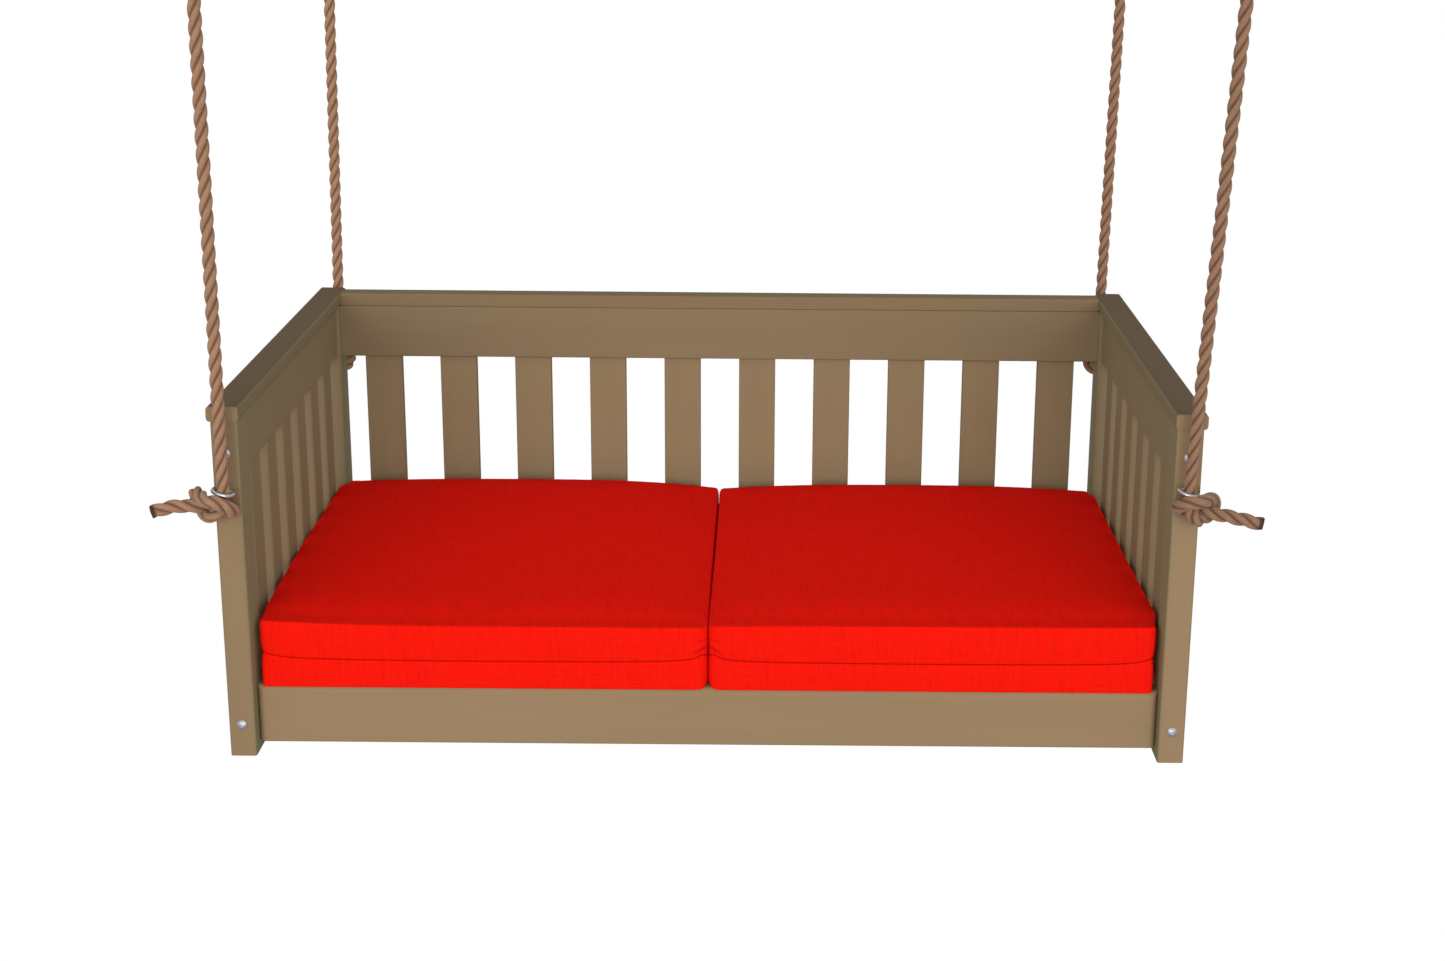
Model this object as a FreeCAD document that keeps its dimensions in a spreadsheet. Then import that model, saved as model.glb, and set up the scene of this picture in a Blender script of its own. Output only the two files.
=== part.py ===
import FreeCAD, Part
import math
import os
import Sketcher

# A porch swing seat: a slatted lumber frame with a back and two arm panels,
# two boxed seat cushions, and four ropes that hang it from eyes in a porch
# beam.  Millimetres, +Z up.  The origin is the middle of the four hanging
# points, in the plane of the beam's underside.  +X is the sitter's left as
# seen from the front, the open front faces -Y.

V = FreeCAD.Vector
doc = FreeCAD.newDocument("PorchSwingSeat")

# ---------------------------------------------------------------- sizes
sheet = doc.addObject("Spreadsheet::Sheet", "Sizes")
SIZES = [
    # the frame
    ("frame_width", 1397.0),
    ("frame_depth", 830.0),
    ("feet_drop", 1300.0),
    ("post_wide", 38.0),
    ("post_deep", 60.0),
    ("post_tall", 507.0),
    ("edge_ease", 4.0),
    ("slat_ease", 4.0),
    ("thin_ease", 2.0),
    ("cap_thick", 22.0),
    ("cap_wide", 45.0),
    ("cap_outboard", 4.5),
    ("cap_overhang", 2.0),
    ("cap_round", 5.0),
    ("rail_thick", 38.0),
    ("rail_tall", 89.0),
    ("rail_rise", 13.0),
    ("rail_round", 10.0),
    ("rail_low_round", 3.0),
    ("front_setback", 22.0),
    ("side_thick", 25.0),
    ("side_tall", 89.0),
    # the slats
    ("slat_thick", 19.0),
    ("back_slat_wide", 63.5),
    ("back_slat_end_space", 39.25),
    ("back_slat_count", 10),
    ("side_slat_wide", 63.5),
    ("side_slat_count", 6),
    ("deck_slat_wide", 70.0),
    ("deck_slat_end_space", 7.5),
    ("deck_slat_count", 13),
    ("tenon", 10.0),
    ("fit_gap", 0.15),
    ("cleat_size", 25.0),
    # dowels and bolts
    ("dowel_radius", 5.0),
    ("dowel_long", 48.0),
    ("dowel_margin", 22.0),
    ("dowel_margin_top", 27.0),
    ("cap_dowel_radius", 4.0),
    ("cap_dowel_long", 30.0),
    ("cap_dowel_in_cap", 12.0),
    ("bolt_radius", 4.0),
    ("bolt_head_radius", 7.6),
    ("bolt_head_tall", 4.2),
    ("bolt_socket", 2.6),
    ("bolt_low", 48.5),
    ("bolt_drop_left", 47.0),
    ("bolt_drop_right", 42.0),
    ("bolt_reach", 38.0),
    ("nut_radius", 6.5),
    ("nut_long", 19.0),
    ("nut_depth", 28.0),
    # the screw eyes on the posts
    ("eye_drop_left", 96.0),
    ("eye_drop_right", 86.0),
    ("eye_inset_front_left", 0.0),
    ("eye_inset_front_right", 2.5),
    ("eye_inset_back_left", 2.0),
    ("eye_inset_back_right", 9.0),
    ("eye_standoff", 25.2),
    ("eye_tilt", 16.0),
    ("eye_inner", 11.3),
    ("eye_wire", 3.0),
    ("eye_shank", 4.0),
    ("eye_grip", 44.0),
    # the ropes and what they hang from
    ("rope_radius", 9.5),
    ("hang_drop_left", 80.0),
    ("hang_drop_right", 70.0),
    ("ring_major", 25.0),
    ("ring_wire", 5.0),
    ("ring_collar", 17.0),
    ("ring_collar_tall", 4.0),
    ("ring_thread", 55.0),
    ("thimble_inner", 10.0),
    ("thimble_wall", 2.0),
    ("splice_radius", 13.5),
    ("splice_long", 86.0),
    ("lean_front_left", 3.0),
    ("lean_front_right", 39.0),
    ("lean_back_left", 14.5),
    ("lean_back_right", 3.0),
    ("pivot_gap", 0.4),
    # the cushions
    ("cushion_tall", 93.0),
    ("cushion_crown", 8.0),
    ("cushion_gap", 2.0),
    ("cushion_side_gap", 6.0),
    ("cushion_back_gap", 5.0),
    ("cushion_setback", 1.0),
    ("cushion_corner", 12.0),
    ("cushion_seam_draw", 4.0),
    ("cushion_edge", 7.0),
    ("seat_gap", 0.3),
]
for row, (alias, value) in enumerate(SIZES, start=1):
    sheet.set("A%d" % row, alias)
    sheet.set("B%d" % row, str(value))
    sheet.setAlias("B%d" % row, alias)
doc.recompute()


def size(alias):
    return float(sheet.get(alias))


frame_width = size("frame_width")
frame_depth = size("frame_depth")
feet_drop = size("feet_drop")
post_wide = size("post_wide")
post_deep = size("post_deep")
post_tall = size("post_tall")
cap_thick = size("cap_thick")
cap_wide = size("cap_wide")
rail_thick = size("rail_thick")
rail_tall = size("rail_tall")
rail_rise = size("rail_rise")
side_thick = size("side_thick")
side_tall = size("side_tall")
slat_thick = size("slat_thick")
tenon = size("tenon")
fit_gap = size("fit_gap")
cleat_size = size("cleat_size")
rope_radius = size("rope_radius")

# ------------------------------------------------- positions that follow
foot_z = -feet_drop
post_x = (frame_width - post_wide) / 2.0
inner_x = frame_width / 2.0 - post_wide
front_y = -frame_depth / 2.0
back_y = frame_depth / 2.0
back_inner_y = back_y - post_deep
front_inner_y = front_y + post_deep
post_top = foot_z + post_tall
rail_low_z = foot_z + rail_rise
rail_low_top = rail_low_z + rail_tall
rail_high_z = post_top - rail_tall
side_low_top = rail_low_z + side_tall
side_high_z = post_top - side_tall
front_rail_y = front_y + size("front_setback")
back_rail_y = back_y - (post_deep + rail_thick) / 2.0
back_mid_y = back_rail_y + rail_thick / 2.0
cap_inner_x = frame_width / 2.0 + size("cap_outboard") - cap_wide
side_inner_x = post_x - side_thick / 2.0
cushion_wide = inner_x - size("cushion_gap") / 2.0 - size("cushion_side_gap")
cushion_front_y = front_rail_y + size("cushion_setback")
cushion_deep = back_rail_y - size("cushion_back_gap") - cushion_front_y

FINISHED = []


def finish(obj, name):
    """Name a finished sub-part; the name is its file's name."""
    obj.Label = name
    FINISHED.append(obj)
    return obj


# ------------------------------------------------------------- helpers
def plane(body, role):
    for feature in body.Origin.OriginFeatures:
        if feature.Role == role:
            return feature
    raise ValueError(role)


def board(name, across, along, length, at, lies="Z", ease="Sizes.edge_ease"):
    """A length of lumber: a rectangle padded along X, Y or Z, long edges eased.

    across and along are the rectangle's two sides as expressions, length is
    the expression of the pad, and at is the corner of least X, Y and Z.
    """
    body = doc.addObject("PartDesign::Body", name)
    sketch = body.newObject("Sketcher::SketchObject", name + "_section")
    role = {"Z": "XY_Plane", "Y": "XZ_Plane", "X": "YZ_Plane"}[lies]
    sketch.AttachmentSupport = [(plane(body, role), "")]
    sketch.MapMode = "FlatFace"
    corners = [V(0, 0, 0), V(40, 0, 0), V(40, 20, 0), V(0, 20, 0)]
    for i in range(4):
        sketch.addGeometry(Part.LineSegment(corners[i], corners[(i + 1) % 4]), False)
    for i in range(4):
        sketch.addConstraint(Sketcher.Constraint("Coincident", i, 2, (i + 1) % 4, 1))
    sketch.addConstraint(Sketcher.Constraint("Horizontal", 0))
    sketch.addConstraint(Sketcher.Constraint("Horizontal", 2))
    sketch.addConstraint(Sketcher.Constraint("Vertical", 1))
    sketch.addConstraint(Sketcher.Constraint("Vertical", 3))
    sketch.addConstraint(Sketcher.Constraint("Coincident", 0, 1, -1, 1))
    wide = sketch.addConstraint(Sketcher.Constraint("DistanceX", 0, 1, 0, 2, 40.0))
    high = sketch.addConstraint(Sketcher.Constraint("DistanceY", 1, 1, 1, 2, 20.0))
    sketch.renameConstraint(wide, "across")
    sketch.renameConstraint(high, "along")
    sketch.setExpression("Constraints.across", across)
    sketch.setExpression("Constraints.along", along)
    pad = body.newObject("PartDesign::Pad", name + "_length")
    pad.Profile = sketch
    pad.setExpression("Length", length)
    if lies == "Y":
        pad.Reversed = True
    doc.recompute()
    if ease:
        index = {"X": 0, "Y": 1, "Z": 2}[lies]
        edges = []
        for number, edge in enumerate(pad.Shape.Edges, start=1):
            line = edge.Vertexes[1].Point.sub(edge.Vertexes[0].Point)
            if abs(line[index]) > 0.99 * line.Length:
                edges.append("Edge%d" % number)
        soft = body.newObject("PartDesign::Fillet", name + "_eased")
        soft.Base = (pad, edges)
        soft.setExpression("Radius", ease)
        body.Tip = soft
    body.Placement = FreeCAD.Placement(V(*at), FreeCAD.Rotation())
    doc.recompute()
    return body


def rod(name, radius, length, at, axis):
    """A round bar; at is the centre of its first end."""
    bar = doc.addObject("Part::Cylinder", name)
    bar.setExpression("Radius", radius)
    bar.setExpression("Height", length)
    turn = FreeCAD.Rotation(V(0, 0, 1), V(*axis))
    bar.Placement = FreeCAD.Placement(V(*at), turn)
    return bar


def block(name, wide, deep, tall, at):
    """A plain box; at is its corner of least X, Y and Z."""
    box = doc.addObject("Part::Box", name)
    box.setExpression("Length", wide)
    box.setExpression("Width", deep)
    box.setExpression("Height", tall)
    box.Placement = FreeCAD.Placement(V(*at), FreeCAD.Rotation())
    return box


def joined(name, pieces):
    """Several separate solids kept side by side in one sub-part."""
    group = doc.addObject("Part::Compound", name)
    group.Links = pieces
    return group


def fused(name, pieces):
    union = doc.addObject("Part::MultiFuse", name)
    union.Shapes = pieces
    return union


def cut(name, base, tools):
    """The base with its drillings and mortises taken out."""
    tool = joined(name + "_tools", tools)
    result = doc.addObject("Part::Cut", name + "_cut")
    result.Base = base
    result.Tool = tool
    doc.recompute()
    if not result.Shape.Volume < base.Shape.Volume - 1.0:
        raise ValueError("nothing was cut from " + name)
    return finish(result, name)


def shaped(name, shape, place=None):
    """A sub-part whose shape comes straight from Part's own functions."""
    feature = doc.addObject("Part::Feature", name)
    feature.Shape = shape
    feature.Placement = place or FreeCAD.Placement()
    return finish(feature, name)


SIDES = [("left", -1.0), ("right", 1.0)]
ENDS = [("front", -1.0), ("back", 1.0)]

# ------------------------------------------------- shared fastener places
bolt_hole = "Sizes.bolt_radius + Sizes.fit_gap"
dowel_hole = "Sizes.dowel_radius + Sizes.fit_gap"
BOLT_HEIGHTS = {}
EYE_HEIGHT = {}
for side_name in ("left", "right"):
    BOLT_HEIGHTS[side_name] = [foot_z + size("bolt_low"),
                               post_top - size("bolt_drop_" + side_name)]
    EYE_HEIGHT[side_name] = post_top - size("eye_drop_" + side_name)
dowel_margin = size("dowel_margin")
dowel_half = size("dowel_long") / 2.0
low_dowels = [rail_low_z + dowel_margin, rail_low_top - dowel_margin]
high_dowels = [rail_high_z + dowel_margin, post_top - size("dowel_margin_top")]
nut_y = back_inner_y - size("nut_depth")
eye_y = back_y + size("eye_standoff")


def eye_x(end_name, side_name):
    """How far a corner's screw eye stands from the middle of the seat."""
    return post_x - size("eye_inset_%s_%s" % (end_name, side_name))


cap_dowel_z = post_top + size("cap_dowel_in_cap") - size("cap_dowel_long")


def dowel_rows(end):
    """Where the cross rails' dowels enter the posts at one end: (y, z)."""
    if end < 0:
        return [(front_rail_y + rail_thick / 2.0, z) for z in low_dowels]
    return [(back_mid_y, z) for z in low_dowels + high_dowels]


# ---------------------------------------------------------------- posts
for end_name, end in ENDS:
    for side_name, side in SIDES:
        name = "%s_%s_post" % (end_name, side_name)
        corner_x = side * post_x - post_wide / 2.0
        corner_y = front_y if end < 0 else back_inner_y
        post = board(name + "_body", "Sizes.post_wide", "Sizes.post_deep",
                     "Sizes.post_tall", (corner_x, corner_y, foot_z))
        tools = []
        for i, z in enumerate(BOLT_HEIGHTS[side_name]):
            tools.append(rod("%s_bolt_hole_%d" % (name, i), bolt_hole,
                             "Sizes.post_deep + 2", (side * post_x, corner_y - 1, z),
                             (0, 1, 0)))
        tools.append(rod(name + "_eye_hole", "Sizes.eye_shank + Sizes.fit_gap",
                         "Sizes.eye_grip + 2",
                         (side * eye_x(end_name, side_name), end * (back_y + 1),
                          EYE_HEIGHT[side_name]), (0, -end, 0)))
        for i, (y, z) in enumerate(dowel_rows(end)):
            tools.append(rod("%s_dowel_hole_%d" % (name, i), dowel_hole,
                             "Sizes.dowel_long / 2 + 1 + Sizes.fit_gap",
                             (side * (inner_x - 1), y, z), (side, 0, 0)))
        tools.append(rod(name + "_cap_dowel_hole",
                         "Sizes.cap_dowel_radius + Sizes.fit_gap",
                         "Sizes.cap_dowel_long",
                         (side * post_x, end * (back_y - post_deep / 2.0),
                          cap_dowel_z - fit_gap), (0, 0, 1)))
        cut(name, post, tools)

# ---------------------------------------------------------- cross rails
rail_length = "Sizes.frame_width - 2 * Sizes.post_wide"
back_slat_x = []
back_count = int(round(size("back_slat_count")))
back_slat_pitch = (2 * (inner_x - size("back_slat_end_space")) - size("back_slat_wide")) \
    / (back_count - 1)
for i in range(back_count):
    back_slat_x.append((i - (back_count - 1) / 2.0) * back_slat_pitch)


def rail_dowel_tools(name, y, heights):
    tools = []
    for side_name, side in SIDES:
        for i, z in enumerate(heights):
            tools.append(rod("%s_%s_dowel_hole_%d" % (name, side_name, i), dowel_hole,
                             "Sizes.dowel_long / 2 + 1 + Sizes.fit_gap",
                             (side * (inner_x + 1), y, z), (-side, 0, 0)))
    return tools


def back_mortises(name, z):
    """The back slats' mortises, cut from height z upward."""
    tools = []
    for i, x in enumerate(back_slat_x):
        wide = size("back_slat_wide") + 2 * fit_gap
        tools.append(block("%s_mortise_%d" % (name, i),
                           "Sizes.back_slat_wide + 2 * Sizes.fit_gap",
                           "Sizes.slat_thick + 2 * Sizes.fit_gap",
                           "Sizes.tenon + Sizes.fit_gap + 1",
                           (x - wide / 2.0, back_mid_y - slat_thick / 2.0 - fit_gap, z)))
    return tools


front_rail = board("front_rail_body", "Sizes.rail_thick", "Sizes.rail_tall", rail_length,
                   (-inner_x, front_rail_y, rail_low_z), "X", None)
front_pad = doc.getObject("front_rail_body_length")
# the face to the sitter's legs is rounded along its top and down its two ends
rounded = []
for number, edge in enumerate(front_pad.Shape.Edges, start=1):
    middle = edge.CenterOfMass
    line = edge.Vertexes[1].Point.sub(edge.Vertexes[0].Point)
    if middle.y < 0.1 * rail_thick and (abs(line.z) > 1.0 or middle.z > 0.9 * rail_tall):
        rounded.append("Edge%d" % number)
face_round = front_rail.newObject("PartDesign::Fillet", "front_rail_rounded")
face_round.Base = (front_pad, rounded)
face_round.setExpression("Radius", "Sizes.rail_round")
front_rail.Tip = face_round
doc.recompute()
low_edges = []
for number, edge in enumerate(face_round.Shape.Edges, start=1):
    line = edge.Vertexes[-1].Point.sub(edge.Vertexes[0].Point)
    middle = edge.CenterOfMass
    straight = edge.Curve.TypeId == "Part::GeomLine" and abs(line.x) > 0.9 * frame_width / 2
    if straight and (middle.z < 0.1 * rail_tall
                     or (middle.y > 0.9 * rail_thick and middle.z > 0.9 * rail_tall)):
        low_edges.append("Edge%d" % number)
low_round = front_rail.newObject("PartDesign::Fillet", "front_rail_eased")
low_round.Base = (face_round, low_edges)
low_round.setExpression("Radius", "Sizes.rail_low_round")
front_rail.Tip = low_round
doc.recompute()
print("front rail: rounded", len(rounded), "eased", len(low_edges))
cut("front_rail", front_rail,
    rail_dowel_tools("front_rail", front_rail_y + rail_thick / 2.0, low_dowels))

back_bottom = board("back_bottom_rail_body", "Sizes.rail_thick", "Sizes.rail_tall",
                    rail_length, (-inner_x, back_rail_y, rail_low_z), "X",
                    "Sizes.thin_ease")
cut("back_bottom_rail", back_bottom,
    rail_dowel_tools("back_bottom_rail", back_mid_y, low_dowels)
    + back_mortises("back_bottom_rail", rail_low_top - tenon - fit_gap))

back_top = board("back_top_rail_body", "Sizes.rail_thick", "Sizes.rail_tall",
                 rail_length, (-inner_x, back_rail_y, rail_high_z), "X",
                 "Sizes.thin_ease")
back_cap_dowel_x = [-0.36 * frame_width, 0.0, 0.36 * frame_width]
back_cap_holes = []
for i, x in enumerate(back_cap_dowel_x):
    back_cap_holes.append(rod("back_top_rail_cap_dowel_hole_%d" % i,
                              "Sizes.cap_dowel_radius + Sizes.fit_gap",
                              "Sizes.cap_dowel_long",
                              (x, back_mid_y, cap_dowel_z - fit_gap), (0, 0, 1)))
cut("back_top_rail", back_top,
    rail_dowel_tools("back_top_rail", back_mid_y, high_dowels)
    + back_mortises("back_top_rail", rail_high_z - 1) + back_cap_holes)

# ----------------------------------------------------------- side rails
side_length = "Sizes.frame_depth - 2 * Sizes.post_deep"
side_span = frame_depth - 2 * post_deep
side_count = int(round(size("side_slat_count")))
side_space = (side_span - side_count * size("side_slat_wide")) / (side_count + 1)
side_slat_y = []
for i in range(side_count):
    step = side_space + size("side_slat_wide")
    side_slat_y.append(front_inner_y + side_space + size("side_slat_wide") / 2.0 + i * step)


def side_rail_tools(name, side, bolt_z, mortise_z):
    tools = []
    for end_name, end in ENDS:
        tools.append(rod("%s_%s_bolt_hole" % (name, end_name), bolt_hole,
                         "Sizes.bolt_reach + 1 + Sizes.fit_gap",
                         (side * post_x, end * (back_inner_y + 1), bolt_z), (0, -end, 0)))
        tools.append(rod("%s_%s_nut_hole" % (name, end_name),
                         "Sizes.nut_radius + Sizes.fit_gap",
                         "Sizes.nut_long + 1 + Sizes.fit_gap",
                         (side * (post_x + side_thick / 2.0 + 1), end * nut_y, bolt_z),
                         (-side, 0, 0)))
    for i, y in enumerate(side_slat_y):
        long = size("side_slat_wide") + 2 * fit_gap
        tools.append(block("%s_mortise_%d" % (name, i),
                           "Sizes.slat_thick + 2 * Sizes.fit_gap",
                           "Sizes.side_slat_wide + 2 * Sizes.fit_gap",
                           "Sizes.tenon + Sizes.fit_gap + 1",
                           (side * post_x - slat_thick / 2.0 - fit_gap,
                            y - long / 2.0, mortise_z)))
    return tools


for side_name, side in SIDES:
    corner_x = side * post_x - side_thick / 2.0
    name = "%s_arm_bottom_rail" % side_name
    low = board(name + "_body", "Sizes.side_thick", "Sizes.side_tall", side_length,
                (corner_x, front_inner_y, rail_low_z), "Y")
    cut(name, low, side_rail_tools(name, side, BOLT_HEIGHTS[side_name][0],
                                   side_low_top - tenon - fit_gap))
    name = "%s_arm_top_rail" % side_name
    high = board(name + "_body", "Sizes.side_thick", "Sizes.side_tall", side_length,
                 (corner_x, front_inner_y, side_high_z), "Y")
    cut(name, high, side_rail_tools(name, side, BOLT_HEIGHTS[side_name][1],
                                    side_high_z - 1))

# ---------------------------------------------------------------- slats
back_slats = []
for i, x in enumerate(back_slat_x):
    back_slats.append(board(
        "back_slat_%02d" % (i + 1), "Sizes.back_slat_wide", "Sizes.slat_thick",
        "Sizes.post_tall - Sizes.rail_rise - 2 * Sizes.rail_tall + 2 * Sizes.tenon",
        (x - size("back_slat_wide") / 2.0, back_mid_y - slat_thick / 2.0,
         rail_low_top - tenon), "Z", "Sizes.thin_ease"))
finish(joined("back_slats_group", back_slats), "back_slats")

for side_name, side in SIDES:
    slats = []
    for i, y in enumerate(side_slat_y):
        slats.append(board(
            "%s_arm_slat_%02d" % (side_name, i + 1), "Sizes.slat_thick",
            "Sizes.side_slat_wide",
            "Sizes.post_tall - Sizes.rail_rise - 2 * Sizes.side_tall + 2 * Sizes.tenon",
            (side * post_x - slat_thick / 2.0, y - size("side_slat_wide") / 2.0,
             side_low_top - tenon), "Z", "Sizes.slat_ease"))
    finish(joined("%s_arm_slats_group" % side_name, slats), "%s_arm_slats" % side_name)

# ----------------------------------------------------------- seat deck
deck_bottom = rail_low_top - slat_thick
cleat_length = "Sizes.frame_width - 2 * Sizes.post_wide - 12"
deck_front_y = front_rail_y + rail_thick
front_cleat = board("front_cleat_body", "Sizes.cleat_size", "Sizes.cleat_size",
                    cleat_length, (-inner_x + 6, deck_front_y, deck_bottom - cleat_size),
                    "X", "Sizes.thin_ease")
finish(front_cleat, "front_cleat")
back_cleat = board("back_cleat_body", "Sizes.cleat_size", "Sizes.cleat_size",
                   cleat_length,
                   (-inner_x + 6, back_rail_y - cleat_size, deck_bottom - cleat_size), "X",
                   "Sizes.thin_ease")
finish(back_cleat, "back_cleat")

deck = []
deck_count = int(round(size("deck_slat_count")))
deck_wide = size("deck_slat_wide")
deck_slat_pitch = (2 * (inner_x - size("deck_slat_end_space")) - deck_wide) \
    / (deck_count - 1)
for i in range(deck_count):
    x = (i - (deck_count - 1) / 2.0) * deck_slat_pitch
    deck.append(board("deck_slat_%02d" % (i + 1), "Sizes.deck_slat_wide",
                      "Sizes.slat_thick",
                      "(Sizes.frame_depth - (Sizes.post_deep + Sizes.rail_thick) / 2"
                      " - Sizes.front_setback - Sizes.rail_thick - 2 * Sizes.fit_gap)",
                      (x - deck_wide / 2.0, deck_front_y + fit_gap, deck_bottom), "Y",
                      "Sizes.thin_ease"))
finish(joined("deck_slats_group", deck), "deck_slats")

# ------------------------------------------------------------ top caps
for side_name, side in SIDES:
    name = "%s_arm_cap" % side_name
    corner_x = cap_inner_x if side > 0 else -cap_inner_x - cap_wide
    cap = board(name + "_body", "Sizes.cap_wide", "Sizes.cap_thick",
                "Sizes.frame_depth + 2 * Sizes.cap_overhang",
                (corner_x, front_y - size("cap_overhang"), post_top), "Y",
                "Sizes.cap_round")
    holes = []
    for end_name, end in ENDS:
        holes.append(rod("%s_%s_dowel_hole" % (name, end_name),
                         "Sizes.cap_dowel_radius + Sizes.fit_gap",
                         "Sizes.cap_dowel_in_cap + 1 + Sizes.fit_gap",
                         (side * post_x, end * (back_y - post_deep / 2.0), post_top - 1),
                         (0, 0, 1)))
    cut(name, cap, holes)

back_cap = board("back_cap_body", "Sizes.rail_thick", "Sizes.cap_thick",
                 "Sizes.frame_width + 2 * Sizes.cap_outboard - 2 * Sizes.cap_wide",
                 (-cap_inner_x, back_rail_y, post_top), "X", "Sizes.thin_ease")
cap_holes = []
for i, x in enumerate(back_cap_dowel_x):
    cap_holes.append(rod("back_cap_dowel_hole_%d" % i,
                         "Sizes.cap_dowel_radius + Sizes.fit_gap",
                         "Sizes.cap_dowel_in_cap + 1 + Sizes.fit_gap",
                         (x, back_mid_y, post_top - 1), (0, 0, 1)))
cut("back_cap", back_cap, cap_holes)

# ------------------------------------------------------ hidden dowels
dowels = []
for end_name, end in ENDS:
    for side_name, side in SIDES:
        for i, (y, z) in enumerate(dowel_rows(end)):
            dowels.append(rod("%s_%s_dowel_%d" % (end_name, side_name, i),
                              "Sizes.dowel_radius", "Sizes.dowel_long",
                              (side * inner_x - side * dowel_half, y, z), (side, 0, 0)))
finish(joined("rail_dowels_group", dowels), "rail_dowels")

pins = []
pin_places = [(side * post_x, end * (back_y - post_deep / 2.0))
              for side_name, side in SIDES for end_name, end in ENDS]
pin_places += [(x, back_mid_y) for x in back_cap_dowel_x]
for i, (x, y) in enumerate(pin_places):
    pins.append(rod("cap_dowel_%d" % i, "Sizes.cap_dowel_radius",
                    "Sizes.cap_dowel_long", (x, y, cap_dowel_z), (0, 0, 1)))
finish(joined("cap_dowels_group", pins), "cap_dowels")


# ------------------------------------------- connector bolts and nuts
def connector_bolt(name, x, end, z):
    """A button-head bolt through the post into the arm rail's barrel nut."""
    radius = size("bolt_radius")
    head = size("bolt_head_radius")
    tall = size("bolt_head_tall")
    reach = post_deep + size("bolt_reach")
    rim = 0.28 * tall
    # the profile of the bolt from the tip to the domed head, in (radius, along)
    tip = V(0, 0, reach)
    points = [tip, V(radius - 0.8, 0, reach), V(radius, 0, reach - 0.8), V(radius, 0, 0),
              V(head, 0, 0), V(head, 0, -rim)]
    edges = [Part.LineSegment(points[i], points[i + 1]).toShape()
             for i in range(len(points) - 1)]
    crown_mid = V(0.66 * head, 0, -0.74 * tall)
    crown_top = V(0.36 * head, 0, -tall)
    edges.append(Part.Arc(points[-1], crown_mid, crown_top).toShape())
    edges.append(Part.LineSegment(crown_top, V(0, 0, -tall)).toShape())
    edges.append(Part.LineSegment(V(0, 0, -tall), tip).toShape())
    profile = Part.Face(Part.Wire(edges))
    solid = profile.revolve(V(0, 0, 0), V(0, 0, 1), 360)
    socket = size("bolt_socket")
    corners = []
    for k in range(7):
        angle = math.radians(60 * k)
        corners.append(V(socket * math.cos(angle), socket * math.sin(angle), -tall - 1))
    key = Part.Face(Part.makePolygon(corners)).extrude(V(0, 0, 1 + 0.62 * tall))
    solid = solid.cut(key)
    turn = FreeCAD.Rotation(V(0, 0, 1), V(0, -end, 0))
    solid.Placement = FreeCAD.Placement(V(x, end * back_y, z), turn)
    return solid


def barrel_nut(side, end, z):
    """A cross-drilled steel barrel, its axis along X, threaded on the bolt."""
    long = size("nut_long")
    outer = side * (post_x + side_thick / 2.0)
    body = Part.makeCylinder(size("nut_radius"), long, V(outer, end * nut_y, z),
                             V(-side, 0, 0))
    hole = Part.makeCylinder(size("bolt_radius") + fit_gap, 40,
                             V(side * post_x, end * nut_y - 20, z), V(0, 1, 0))
    return body.cut(hole)


bolts = []
nuts = []
for end_name, end in ENDS:
    for side_name, side in SIDES:
        for z in BOLT_HEIGHTS[side_name]:
            bolts.append(connector_bolt("bolt", side * post_x, end, z))
            nuts.append(barrel_nut(side, end, z))
shaped("frame_bolts", Part.makeCompound(bolts))
shaped("barrel_nuts", Part.makeCompound(nuts))


# --------------------------------------------------- screw eyes on posts
def screw_eye(name, x, z, end):
    """A closed ring lying flat, on a shank driven into the post's face."""
    major = size("eye_inner") + size("eye_wire")
    wire = size("eye_wire")
    ring = doc.addObject("Part::Torus", name + "_ring")
    ring.setExpression("Radius1", "Sizes.eye_inner + Sizes.eye_wire")
    ring.setExpression("Radius2", "Sizes.eye_wire")
    ring.Placement = FreeCAD.Placement(V(x, end * eye_y, z),
                                       FreeCAD.Rotation(V(0, 1, 0), size("eye_tilt")))
    start = eye_y - major
    shank = rod(name + "_shank", "Sizes.eye_shank",
                "Sizes.eye_grip + Sizes.eye_standoff - Sizes.eye_inner - Sizes.eye_wire",
                (x, end * start, z), (0, -end, 0))
    return finish(fused(name + "_fused", [ring, shank]), name)


for end_name, end in ENDS:
    for side_name, side in SIDES:
        screw_eye("screw_eye_%s_%s" % (end_name, side_name),
                  side * eye_x(end_name, side_name), EYE_HEIGHT[side_name], end)


# ------------------------------------------------------ tubes of rope
def routed_wire(points):
    """Straight runs joined by tangent arcs, as large as each two runs allow."""
    edges = []
    radii = []
    at = points[0]
    for i in range(1, len(points) - 1):
        before = points[i - 1].sub(points[i])
        after = points[i + 1].sub(points[i])
        turn = math.pi - before.getAngle(after)
        shorter = min(before.Length, after.Length)
        radius = 0.45 * shorter / math.tan(turn / 2.0)
        radii.append(radius)
        reach = radius * math.tan(turn / 2.0)
        first = points[i].add(V(before).normalize().multiply(reach))
        last = points[i].add(V(after).normalize().multiply(reach))
        inward = V(before).normalize().add(V(after).normalize()).normalize()
        centre_off = radius / math.cos(turn / 2.0)
        middle = points[i].add(V(inward).multiply(centre_off - radius))
        if first.sub(at).Length > 1e-6:
            edges.append(Part.LineSegment(at, first).toShape())
        edges.append(Part.Arc(first, middle, last).toShape())
        at = last
    edges.append(Part.LineSegment(at, points[-1]).toShape())
    return Part.Wire(edges), radii


def tube_along(wire, radius):
    start = wire.Edges[0].valueAt(wire.Edges[0].FirstParameter)
    along = wire.Edges[0].tangentAt(wire.Edges[0].FirstParameter)
    ring = Part.Wire([Part.makeCircle(radius, start, along)])
    tube = wire.makePipeShell([ring], True, False)
    if not tube.isValid() or tube.Volume < 0:
        raise ValueError("the rope's tube is not a solid")
    ideal = math.pi * radius * radius * wire.Length
    if abs(tube.Volume / ideal - 1.0) > 0.01:
        raise ValueError("the rope's tube has the wrong volume")
    return tube


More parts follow.
